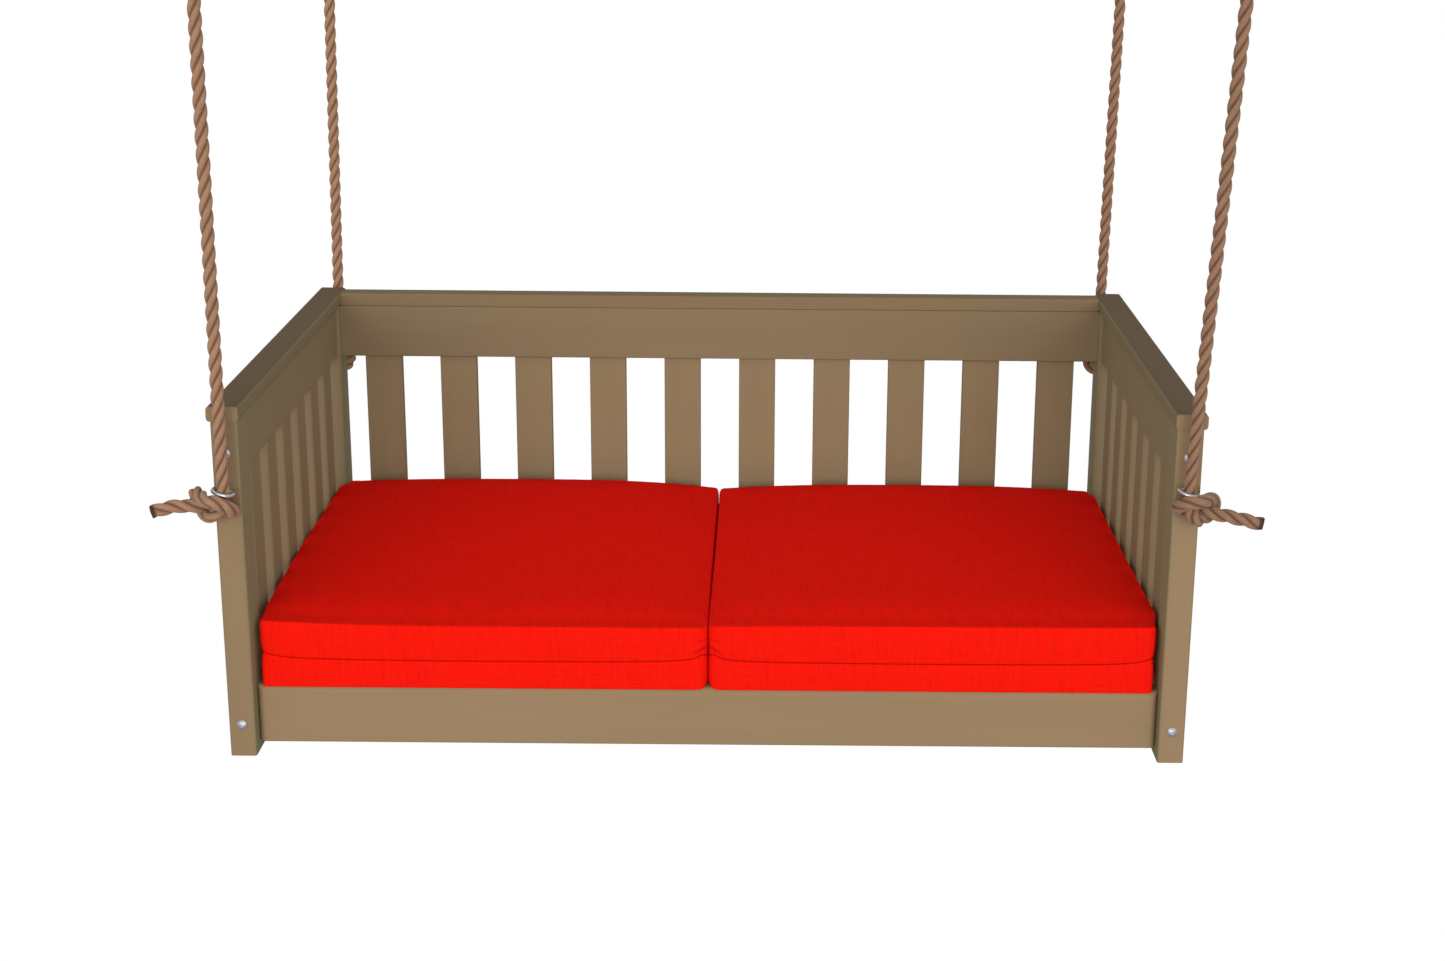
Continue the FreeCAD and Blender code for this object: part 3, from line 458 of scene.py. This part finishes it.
def carried_frames(line):
    """Normals carried along a line without spinning about it."""
    tangents = np.gradient(line, axis=0)
    tangents /= np.linalg.norm(tangents, axis=1)[:, None]
    first = np.cross(tangents[0], (1.0, 0.0, 0.0))
    if np.linalg.norm(first) < 0.2:
        first = np.cross(tangents[0], (0.0, 1.0, 0.0))
    normals = [first / np.linalg.norm(first)]
    for i in range(1, len(line)):
        turned = normals[-1] - tangents[i] * np.dot(normals[-1], tangents[i])
        normals.append(turned / np.linalg.norm(turned))
    normals = np.array(normals)
    return tangents, normals, np.cross(tangents, normals)


STRANDS = 3
PER_STRAND = 14         # points round a strand
STRAND_A = 0.54         # a strand's radius, and its middle's place, in rope radii
STRAND_C = 0.46
RING_STEP = 0.0021      # along the rope, from one ring of points to the next
END_ROUND = 0.003       # of the cut end
BURN = 0.004            # half the length of the burnt end's dark part


def laid_rope(name, line, swell=None, start_angle=0.0, burnt_end=False):
    """Three strands laid together along a line, as one closed surface."""
    points, along = evenly(line, RING_STEP)
    tangents, normals, sides = carried_frames(points)
    columns = STRANDS * PER_STRAND
    phi = np.arange(columns) * 2 * math.pi / columns
    within = (phi + math.pi / STRANDS) % (2 * math.pi / STRANDS) - math.pi / STRANDS
    profile = STRAND_C * np.cos(within)
    profile = profile + np.sqrt(STRAND_A ** 2 - (STRAND_C * np.sin(within)) ** 2)
    # how deep each point lies in a groove between strands, for the painted shade there
    groove = (1.0 - profile) / (1.0 - profile.min())
    rows = []
    groove_shades = []
    burnt = []
    total = along[-1]
    for i, s in enumerate(along):
        grow = swell(s, phi) if swell else 1.0
        radius = ROPE_R * profile * grow
        left = total - s
        if burnt_end and left < END_ROUND:
            radius = radius * (0.90 + 0.10 * math.sqrt(left / END_ROUND))
        angle = phi + start_angle + 2 * math.pi * s / LAY_LENGTH
        ring = points[i] + radius[:, None] * (np.cos(angle)[:, None] * normals[i]
                                              + np.sin(angle)[:, None] * sides[i])
        rows.append(ring)
        groove_shades.append(groove)
        black = min(1.0, max(0.0, 2.1 - left / BURN)) if burnt_end else 0.0
        burnt.append(np.full(columns, black))
    count = len(rows)
    vertices = np.concatenate(rows)
    faces = []
    coords = []
    for i in range(count - 1):
        for j in range(columns):
            k = (j + 1) % columns
            faces.append((i * columns + j, i * columns + k, (i + 1) * columns + k,
                          (i + 1) * columns + j))
            u0, u1 = j / PER_STRAND, (j + 1) / PER_STRAND
            coords += [(u0, along[i]), (u1, along[i]),
                       (u1, along[i + 1]), (u0, along[i + 1])]
    # the two ends close on a middle point
    vertices = np.vstack([vertices, points[0], points[-1] + tangents[-1] * 0.0006])
    first, last = len(vertices) - 2, len(vertices) - 1
    for j in range(columns):
        k = (j + 1) % columns
        faces.append((first, k, j))
        coords += [(j / PER_STRAND, 0.0)] * 3
        faces.append((last, (count - 1) * columns + j, (count - 1) * columns + k))
        coords += [(j / PER_STRAND, total)] * 3
    mesh = bpy.data.meshes.new(name)
    mesh.from_pydata([tuple(v) for v in vertices], [], faces)
    uv = mesh.uv_layers.new(name="laid")
    uv.data.foreach_set("uv", np.array(coords, dtype=np.float32).ravel())
    for label, values in (("groove", groove_shades), ("burnt", burnt)):
        attribute = mesh.attributes.new(label, "FLOAT", "POINT")
        flat = np.concatenate([np.concatenate(values), [0.5, 1.0 if burnt_end else 0.5]])
        attribute.data.foreach_set("value", flat.astype(np.float32))
    mesh.polygons.foreach_set("use_smooth", [True] * len(mesh.polygons))
    mesh.materials.append(FIBRE["left" if name.endswith("left") else "right"])
    piece = bpy.data.objects.new(name, mesh)
    bpy.context.scene.collection.objects.link(piece)
    return piece, points


# The points that steer the overhand knots, in millimetres from the screw eye:
# outward, toward the post and up. The last one is the tail's end.
KNOT_LEVEL = [
    (3, -4, -22), (9, -8, -39), (28, 16, -41), (40, 14, -28), (37, 7, -11),
    (27, -11, -5), (13, -31, -4), (-3, -28, -5), (-17, -13, -15), (-15, 8, -25),
    (5, 17, -30), (20, 10, -22), (28, -6, -26), (67, -12, -32), (103, -20, -39),
]
KNOT_ASKEW = [
    (0, -2, -20), (14, -10, -33), (32, 15, -38), (44, 15, -18), (41, 9, -2),
    (31, -10, -2), (16, -30, -4), (2, -27, -8), (-16, -13, -23), (-11, 10, -31),
    (8, 17, -29), (23, 8, -19), (36, -8, -19), (69, -8, -17), (98, -18, -25),
]
KNOTS = {"front_left": KNOT_ASKEW, "front_right": KNOT_LEVEL,
         "back_left": KNOT_LEVEL, "back_right": KNOT_ASKEW}


SPLICE_TOP = 0.0332     # from a ceiling eye down to where the rope's splice begins
SPLICE_LONG = 0.086
KNOT_FROM = 0.76        # along the rope, where it begins to open for its knot
LOOP_DROP = 0.0046      # from a ceiling eye to the middle of the rope's own eye
LOOP_R = 0.0215         # that eye's radius, and the points that steer its round
LOOP_POINTS = 6
LOOP_TURN = math.radians(40.67)
LOOP_HALF_TURN = math.radians(20.33)
LOOP_START = math.radians(-11.67)


def splice_swell(s, phi):
    """The tucked strands: thick at the rope's eye, tapering into the rope."""
    if s > SPLICE_LONG:
        # the rope opens a little where it is worked into the knot
        return 1.0 + 0.07 * min(1.0, max(0.0, (s - KNOT_FROM) / 0.03))
    part = s / SPLICE_LONG
    thick = 1.0 + 0.40 * (1.0 - part) ** 0.9
    tucks = 0.055 * (1.0 - part ** 3) * np.cos(3 * phi + math.pi)
    tucks = tucks * math.cos(2 * math.pi * s / 0.026)
    lead = min(1.0, 0.55 + s / 0.010)
    return (thick + tucks) * lead


def hang_rope(key):
    """A rope with its knot and its tail, and its spliced eye round the thimble."""
    end, side = key.split("_")
    x, y = SIDE[side], END[end]
    eye = Vector((x * (POST_X - EYE_INSET[key]), y * EYE_Y, EYE_Z[side]))
    top = Vector((x * POST_X + LEAN[key], y * EYE_Y, EYE_Z[side] + ROPE_DROP))
    up = (top - eye).normalized()
    # straight down to the screw eye's ring, then along the knot
    route = [top - up * SPLICE_TOP, eye + up * 0.114, eye + up * 0.004]
    for px, py, pz in KNOTS[key]:
        route.append(eye + Vector((x * px, -y * py, pz)) / 1000.0)
    line = smooth_line([tuple(point) for point in route])
    rope, path = laid_rope("laid_rope_" + key, line, splice_swell, burnt_end=True)

    # the rope's eye round the thimble, in the plane of the rope and Y
    centre = top - up * LOOP_DROP
    out = Vector((0, 1, 0))
    across = up.cross(out)
    reach = LOOP_R / math.cos(LOOP_HALF_TURN)
    loop = [centre - up * 0.060 - out * 0.002 + across * 0.003,
            centre - up * 0.043 + out * 0.001 + across * 0.002]
    for step in range(LOOP_POINTS):
        angle = LOOP_START + LOOP_TURN * step
        loop.append(centre + out * (reach * math.cos(angle))
                    + up * (reach * math.sin(angle)))
    loop += [centre - up * 0.043 - out * 0.001 - across * 0.002,
             centre - up * 0.060 + out * 0.002 - across * 0.003]
    bight, _ = laid_rope("rope_bight_" + key, smooth_line([tuple(p) for p in loop]),
                         start_angle=0.7)

    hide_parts("rope_" + key, "knot_" + key)
    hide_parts("rope_eye_" + key)
    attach(bight, "rope_" + key)
    if key == "front_left":
        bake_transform(rope)
    else:
        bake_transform(rope)


for rope_key in LEAN:
    hang_rope(rope_key)


# -------------------------------------------------------------- cushions
LEFT_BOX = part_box("left_cushion")
HALF_X = (LEFT_BOX[1][0] - LEFT_BOX[0][0]) / 2 - 0.0012
HALF_Y = (LEFT_BOX[1][1] - LEFT_BOX[0][1]) / 2 - 0.0025
CUSHION_TALL = 0.0925
CUSHION_Z = LEFT_BOX[0][2]
SEAM_Z = 0.038
CELL = 0.0105           # the cover's mesh over its top, with finer cells at its edges
EDGE_CELLS_X = [0.005, 0.004, 0.003, 0.003, 0.003, 0.003, 0.002]
EDGE_CELLS_Y = [0.006, 0.004, 0.002]
# rows up the side walls, close together at the seam and at the two folds
WALL_ROWS = [0.0, 0.002, 0.006, 0.012, 0.019, 0.026, 0.032, 0.0358, 0.0372, 0.038,
             0.0388, 0.0402, 0.0422, 0.0444, 0.0466, 0.0488, 0.0510, 0.0532, 0.0554,
             0.0580, 0.062, 0.068, 0.074, 0.081, 0.0865, 0.0903, 0.0925]


def spread(half, cell, edge):
    """Places from -half to half: close together at the two edges."""
    inner = half - sum(edge)
    count = int(round(2 * inner / cell))
    places = [-inner + 2 * inner * i / count for i in range(count + 1)]
    for step in edge:
        places = [places[0] - step] + places + [places[-1] + step]
    return places


def lattice(xs, ys, zs):
    """The closed surface of a box of cells: its points and its quads."""
    index = {}
    points = []

    def corner(i, j, k):
        if (i, j, k) not in index:
            index[(i, j, k)] = len(points)
            points.append((xs[i], ys[j], zs[k], i, j, k))
        return index[(i, j, k)]

    nx, ny, nz = len(xs) - 1, len(ys) - 1, len(zs) - 1
    faces = []
    for i in range(nx):
        for j in range(ny):
            faces.append((corner(i, j, nz), corner(i + 1, j, nz), corner(i + 1, j + 1, nz),
                          corner(i, j + 1, nz)))
            faces.append((corner(i, j, 0), corner(i, j + 1, 0), corner(i + 1, j + 1, 0),
                          corner(i + 1, j, 0)))
    for k in range(nz):
        for i in range(nx):
            faces.append((corner(i, 0, k), corner(i + 1, 0, k), corner(i + 1, 0, k + 1),
                          corner(i, 0, k + 1)))
            faces.append((corner(i, ny, k), corner(i, ny, k + 1), corner(i + 1, ny, k + 1),
                          corner(i + 1, ny, k)))
        for j in range(ny):
            faces.append((corner(0, j, k), corner(0, j, k + 1), corner(0, j + 1, k + 1),
                          corner(0, j + 1, k)))
            faces.append((corner(nx, j, k), corner(nx, j + 1, k), corner(nx, j + 1, k + 1),
                          corner(nx, j, k + 1)))
    return points, faces


SETTLED = 20            # the frame at which the blown cover is taken


def inflate(piece, held, pressure, cap):
    """Blow the cover up with cloth, no point moving further than the cap."""
    rest = np.array([vertex.co[:] for vertex in piece.data.vertices])
    group = piece.vertex_groups.new(name="held")
    for number, weight in enumerate(held):
        if weight > 0:
            group.add([number], float(weight), "REPLACE")
    cloth = piece.modifiers.new("cloth", "CLOTH")
    settings = cloth.settings
    settings.quality = 6
    settings.mass = 0.25
    settings.tension_stiffness = 18.0
    settings.compression_stiffness = 18.0
    settings.shear_stiffness = 8.0
    settings.bending_stiffness = 0.25
    settings.tension_damping = 8.0
    settings.use_pressure = True
    settings.uniform_pressure_force = pressure
    settings.effector_weights.gravity = 0.0
    settings.vertex_group_mass = "held"
    settings.pin_stiffness = 1.0
    cloth.collision_settings.use_collision = False
    cloth.point_cache.frame_start = 1
    cloth.point_cache.frame_end = SETTLED
    for number in range(1, SETTLED + 1):
        bpy.context.scene.frame_set(number)
    seen = piece.evaluated_get(bpy.context.evaluated_depsgraph_get())
    blown = np.array([vertex.co[:] for vertex in seen.data.vertices])
    bpy.context.scene.frame_set(1)
    piece.modifiers.remove(cloth)
    piece.vertex_groups.remove(group)
    move = blown - rest
    far = np.linalg.norm(move, axis=1)
    limit = cap * far / (far + cap + 1e-9) * 1.6
    move *= (np.minimum(limit, cap) / np.maximum(far, 1e-9))[:, None]
    piece.data.vertices.foreach_set("co", (rest + move).astype(np.float32).ravel())
    piece.data.update()
    print(piece.name, "inflated by up to", round(float(np.abs(move).max()) * 1000, 1), "mm")


CORNER_R = 0.008        # the upright corners
INNER_CORNER_R = 0.013  # the one at the front, where the two cushions meet
TOP_RIM = 0.0036        # rounds along the fold and along the bottom
BOTTOM_RIM = 0.0045
FRONT_BOTTOM_RIM = 0.0020
PRESSURE = 4.0
MOST_BLOWN = 0.007
SEAM_DEPTH = 0.0026
RAIL_ROUND = 0.0100     # the front rail's upper edge


def square_corner(x, y, radius):
    """A point of the box's corner, moved onto an upright round of this radius."""
    over_x = abs(x) - (HALF_X - radius)
    over_y = abs(y) - (HALF_Y - radius)
    if over_x <= 0 or over_y <= 0:
        return x, y
    fit = max(over_x, over_y) / math.hypot(over_x, over_y)
    return (math.copysign(HALF_X - radius + over_x * fit, x),
            math.copysign(HALF_Y - radius + over_y * fit, y))


def round_rims(x, y, px, py, pz):
    """The foam's edges: a small round at the fold, and one along the bottom."""
    near_wall = min(HALF_X - abs(x), HALF_Y - abs(y))
    low_rim = FRONT_BOTTOM_RIM if y < -HALF_Y + 0.01 else BOTTOM_RIM
    for rim, level, way in ((TOP_RIM, CUSHION_TALL - pz, -1), (low_rim, pz, 1)):
        a = max(0.0, 1.0 - near_wall / rim)
        b = max(0.0, 1.0 - level / rim)
        if a > 0 and b > 0:
            fit = 1.0 - max(a, b) / math.hypot(a, b)
            if HALF_X - abs(x) <= HALF_Y - abs(y):
                px -= math.copysign(rim * a * fit, x)
            else:
                py -= math.copysign(rim * a * fit, y)
            pz += way * rim * b * fit
    return px, py, pz


def top_rise(u, v, side, inward):
    """How far the top stands over the plain box, for a place from -1 to 1 in X and Y."""
    # it sags to its back corners and stands proud between them
    back = max(0.0, (v + 1) / 2) ** 1.6
    if side < 0:
        plump, sag = 0.0045, 0.0130 if inward else 0.0055
    else:
        plump, sag = -0.0010, 0.0085
    rise = (plump - sag * abs(u) ** 3) * back + 0.0020 * back * (1 - abs(u) ** 2)
    # at the front the outer corners stand up, and the right cushion all along
    ahead = max(0.0, (1 - v) / 2) ** 1.5
    if side < 0:
        rise += 0.0 if inward else 0.0065 * ahead * abs(u) ** 2.5
    else:
        rise += ahead * (0.0046 + (-0.0020 if inward else 0.0018) * abs(u) ** 3)
    return rise + 0.0030 * max(0.0, 1 - u * u) * max(0.0, 1 - v * v)


def outer_swell(v, py, side):
    """How far the outer side fills out between the posts, toward the arm's slats."""
    deep = (v + 1) / 2
    if side < 0:
        swell = 0.0150 * min(1.0, deep / 0.5) ** 0.8
    else:
        swell = 0.0100 * min(1.0, 0.2 + 12.0 * deep)
    swell *= min(1.0, max(0.15, (HALF_Y - 0.010 - py) / 0.022))
    return swell * min(1.0, max(0.15, (py + HALF_Y - 0.036) / 0.030))


def cover_shape(points, last, seam_row, side):
    """The cover before it is blown up: its points, and how firmly each is held."""
    vertices = []
    held = []
    for x, y, z, i, j, k in points:
        on_x = i in (0, last[0])
        on_y = j in (0, last[1])
        wall = on_x or on_y
        inward = side * x < 0
        # how far along the wall the nearest upright corner is: the seam climbs there
        off = max(HALF_X - abs(x), HALF_Y - abs(y))
        seam_z = SEAM_Z + (0.004 * math.exp(-off / 0.10) + 0.008 * math.exp(-off / 0.020))
        if z <= SEAM_Z:
            pz = z * seam_z / SEAM_Z
        else:
            pz = CUSHION_TALL - (CUSHION_TALL - z) * (CUSHION_TALL - seam_z) \
                / (CUSHION_TALL - SEAM_Z)
        px, py = square_corner(x, y, INNER_CORNER_R if inward and y < 0 else CORNER_R)
        px, py, pz = round_rims(x, y, px, py, pz)
        u, v = px / HALF_X, py / HALF_Y
        part = z / CUSHION_TALL
        pz += top_rise(u, v, side, inward) * part ** 2
        if not inward:
            swell = outer_swell(v, py, side)
            px += math.copysign(swell * abs(u) ** 4 * (0.35 + 0.65 * part), x)
        # where the seam ends at an upright corner it draws the cloth in
        draw = math.exp(-(off / 0.016) ** 2) * (1.0 if inward else 0.45)
        if wall:
            pull = 0.0042 * draw * math.exp(-(abs(pz - seam_z) / 0.010) ** 2)
            px -= math.copysign(pull, x) * (1 if on_x else 0.6)
            py -= math.copysign(pull, y) * (1 if on_y else 0.6)
        # the two cushions lean on each other along their inner sides
        if on_x and inward:
            lean = 0.0016 + 0.0026 * min(1.0, z / 0.008, (CUSHION_TALL - z) / 0.010)
            px += math.copysign(lean * min(1.0, max(0.0, (HALF_Y - abs(y)) / 0.02)), x)
        vertices.append((px, py, pz))
        base = 1.0 if k == 0 and not wall else 0.0
        seam = 1.0 if wall and k == seam_row else 0.0
        fold = 0.55 if wall and k >= last[2] - 1 else 0.0
        bottom = 0.9 if wall and k <= 1 else 0.0
        # the top lies flat right up to its front edge
        front = 0.9 * math.exp(-((y + HALF_Y) / 0.045) ** 2) if k == last[2] else 0.0
        held.append(max(base, seam, fold, bottom, front))
    return vertices, held


def sew(place, points, last, seam_row):
    """Draw the seam in along the walls. Gives each point's share of the seam."""
    seams = np.zeros(len(points))
    for number, (x, y, _, i, j, k) in enumerate(points):
        on_x, on_y = i in (0, last[0]), j in (0, last[1])
        if not (on_x or on_y):
            continue
        seams[number] = 1.0 if k == seam_row else 0.0
        beside = 1.0 if k in (seam_row - 1, seam_row + 1) else 0.0
        depth = SEAM_DEPTH * seams[number] + 0.0006 * beside
        if depth and on_x:
            place[number, 0] -= math.copysign(depth, x)
        if depth and on_y:
            place[number, 1] -= math.copysign(depth, y)
    return seams


def crease(place, from_corner, points, seam_row, side):
    """Press the short creases into the front wall by its inner corner."""
    for number, (x, _, _, _, j, k) in enumerate(points):
        if j == 0 and side * x < 0 and k > seam_row:
            reach, rise, _ = from_corner[number]
            for start, slope, long, deep in CREASES:
                off = rise - start - slope * reach
                groove = math.exp(-(off / 0.0021) ** 2) - 0.4 * math.exp(
                    -((off - 0.0046) / 0.0026) ** 2)
                place[number, 1] += (CREASE_DEPTH * deep * groove
                                     * math.exp(-(reach / long) ** 4))


def hang_over_rail(place, points):
    """The lower front edge hangs a little over the rounded front rail."""
    rail_top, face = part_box("front_rail")[1][2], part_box("front_rail")[0][1]
    for number, (_, y, z, _, _, _) in enumerate(points):
        close = math.exp(-((y + HALF_Y) / 0.005) ** 2) * max(0.0, 1.0 - z / SEAM_Z)
        place[number, 1] -= 0.0018 * close
        place[number, 2] -= 0.0046 * close ** 1.5
        into = face + RAIL_ROUND - place[number, 1]
        if 0.0 < into < RAIL_ROUND:
            curve = rail_top - RAIL_ROUND + math.sqrt(RAIL_ROUND ** 2 - into ** 2)
            place[number, 2] = max(place[number, 2], curve + 0.0003)


def cushion(name, side):
    """A boxed cushion: a fold round the top, a seam round the walls, puffed panels."""
    node = name.replace("_cover", "")
    low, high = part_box(node)
    centre = Vector(((low[0] + high[0]) / 2, (low[1] + high[1]) / 2, CUSHION_Z))
    xs = spread(HALF_X, CELL, EDGE_CELLS_X)
    ys = spread(HALF_Y, CELL, EDGE_CELLS_Y)
    points, faces = lattice(xs, ys, WALL_ROWS)
    last = (len(xs) - 1, len(ys) - 1, len(WALL_ROWS) - 1)
    seam_row = WALL_ROWS.index(SEAM_Z)
    vertices, held = cover_shape(points, last, seam_row, side)
    mesh = bpy.data.meshes.new(name)
    mesh.from_pydata(vertices, [], faces)
    mesh.materials.append(RED)
    piece = bpy.data.objects.new(name, mesh)
    bpy.context.scene.collection.objects.link(piece)
    inflate(piece, held, PRESSURE, MOST_BLOWN)
    place = np.array([vertex.co[:] for vertex in mesh.vertices])
    seams = sew(place, points, last, seam_row)
    # where each point is from the inner front corner, for the creases there
    from_corner = np.stack([HALF_X + side * place[:, 0], place[:, 2] - SEAM_Z - 0.010,
                            place[:, 1] + HALF_Y], axis=1)
    crease(place, from_corner, points, seam_row, side)
    place += np.array(centre[:])
    hang_over_rail(place, points)
    # pressed together, the inner sides go flat
    if side < 0:
        place[:, 0] = np.minimum(place[:, 0], -0.0003)
    else:
        place[:, 0] = np.maximum(place[:, 0], 0.0003)
    mesh.vertices.foreach_set("co", place.astype(np.float32).ravel())
    attribute = mesh.attributes.new("seam", "FLOAT", "POINT")
    attribute.data.foreach_set("value", seams.astype(np.float32))
    attribute = mesh.attributes.new("from_corner", "FLOAT_VECTOR", "POINT")
    attribute.data.foreach_set("vector", from_corner.astype(np.float32).ravel())
    mesh.polygons.foreach_set("use_smooth", [True] * len(mesh.polygons))
    mesh.update()
    smooth = piece.modifiers.new("smooth", "SUBSURF")
    smooth.levels = 1
    smooth.render_levels = 1
    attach(piece, node)
    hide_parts(node)
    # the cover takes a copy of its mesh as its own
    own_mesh(piece)


cushion("left_cushion_cover", -1.0)
cushion("right_cushion_cover", 1.0)


# ----------------------------------------------------- light and setting
def white_stage(name, strength):
    """Pale diffuse to the light, plain white to the eye."""
    material = bpy.data.materials.new(name)
    material.use_nodes = True
    tree = material.node_tree
    tree.nodes.clear()
    out = tree.nodes.new("ShaderNodeOutputMaterial")
    pale = tree.nodes.new("ShaderNodeBsdfDiffuse")
    pale.inputs["Color"].default_value = (0.62, 0.62, 0.62, 1.0)
    glow = tree.nodes.new("ShaderNodeEmission")
    glow.inputs["Strength"].default_value = strength
    ray = tree.nodes.new("ShaderNodeLightPath")
    mix = tree.nodes.new("ShaderNodeMixShader")
    tree.links.new(ray.outputs["Is Camera Ray"], mix.inputs[0])
    tree.links.new(pale.outputs[0], mix.inputs[1])
    tree.links.new(glow.outputs[0], mix.inputs[2])
    tree.links.new(mix.outputs[0], out.inputs["Surface"])
    return material


FLOOR_Z = -1.78
FLOOR_HALF = 9
WORLD_STRENGTH = 0.58
SUN_ANGLE = 0.6

floor_mesh = bpy.data.meshes.new("floor")
floor_mesh.from_pydata([(x * FLOOR_HALF, y * FLOOR_HALF, FLOOR_Z)
                        for x, y in ((-1, -1), (1, -1), (1, 1), (-1, 1))], [],
                       [(0, 1, 2, 3)])
floor_mesh.materials.append(white_stage("floor_white", 1.0))
floor = bpy.data.objects.new("floor", floor_mesh)
bpy.context.scene.collection.objects.link(floor)

world = bpy.data.worlds.new("studio")
bpy.context.scene.world = world
world.use_nodes = True
wt = world.node_tree
wt.nodes.clear()
wt_out = wt.nodes.new("ShaderNodeOutputWorld")
dim = wt.nodes.new("ShaderNodeBackground")
dim.inputs["Color"].default_value = (1.0, 0.985, 0.97, 1.0)
dim.inputs["Strength"].default_value = WORLD_STRENGTH
bright = wt.nodes.new("ShaderNodeBackground")
bright.inputs["Color"].default_value = (1.0, 1.0, 1.0, 1.0)
bright.inputs["Strength"].default_value = 1.0
ray = wt.nodes.new("ShaderNodeLightPath")
mix = wt.nodes.new("ShaderNodeMixShader")
wt.links.new(ray.outputs["Is Camera Ray"], mix.inputs[0])
wt.links.new(dim.outputs[0], mix.inputs[1])
wt.links.new(bright.outputs[0], mix.inputs[2])
wt.links.new(mix.outputs[0], wt_out.inputs["Surface"])


def sun(name, strength, direction):
    """A wide, soft light that shines along a direction."""
    data = bpy.data.lights.new(name, "SUN")
    data.energy = strength
    data.angle = SUN_ANGLE
    light = bpy.data.objects.new(name, data)
    bpy.context.scene.collection.objects.link(light)
    light.rotation_euler = Vector(direction).to_track_quat("-Z", "Y").to_euler()


sun("front_left_light", 1.26, (0.34, 1.0, -0.17))
sun("front_right_light", 1.24, (-0.34, 1.0, -0.17))

scene = bpy.context.scene
scene.view_settings.view_transform = "Standard"
scene.view_settings.look = "None"
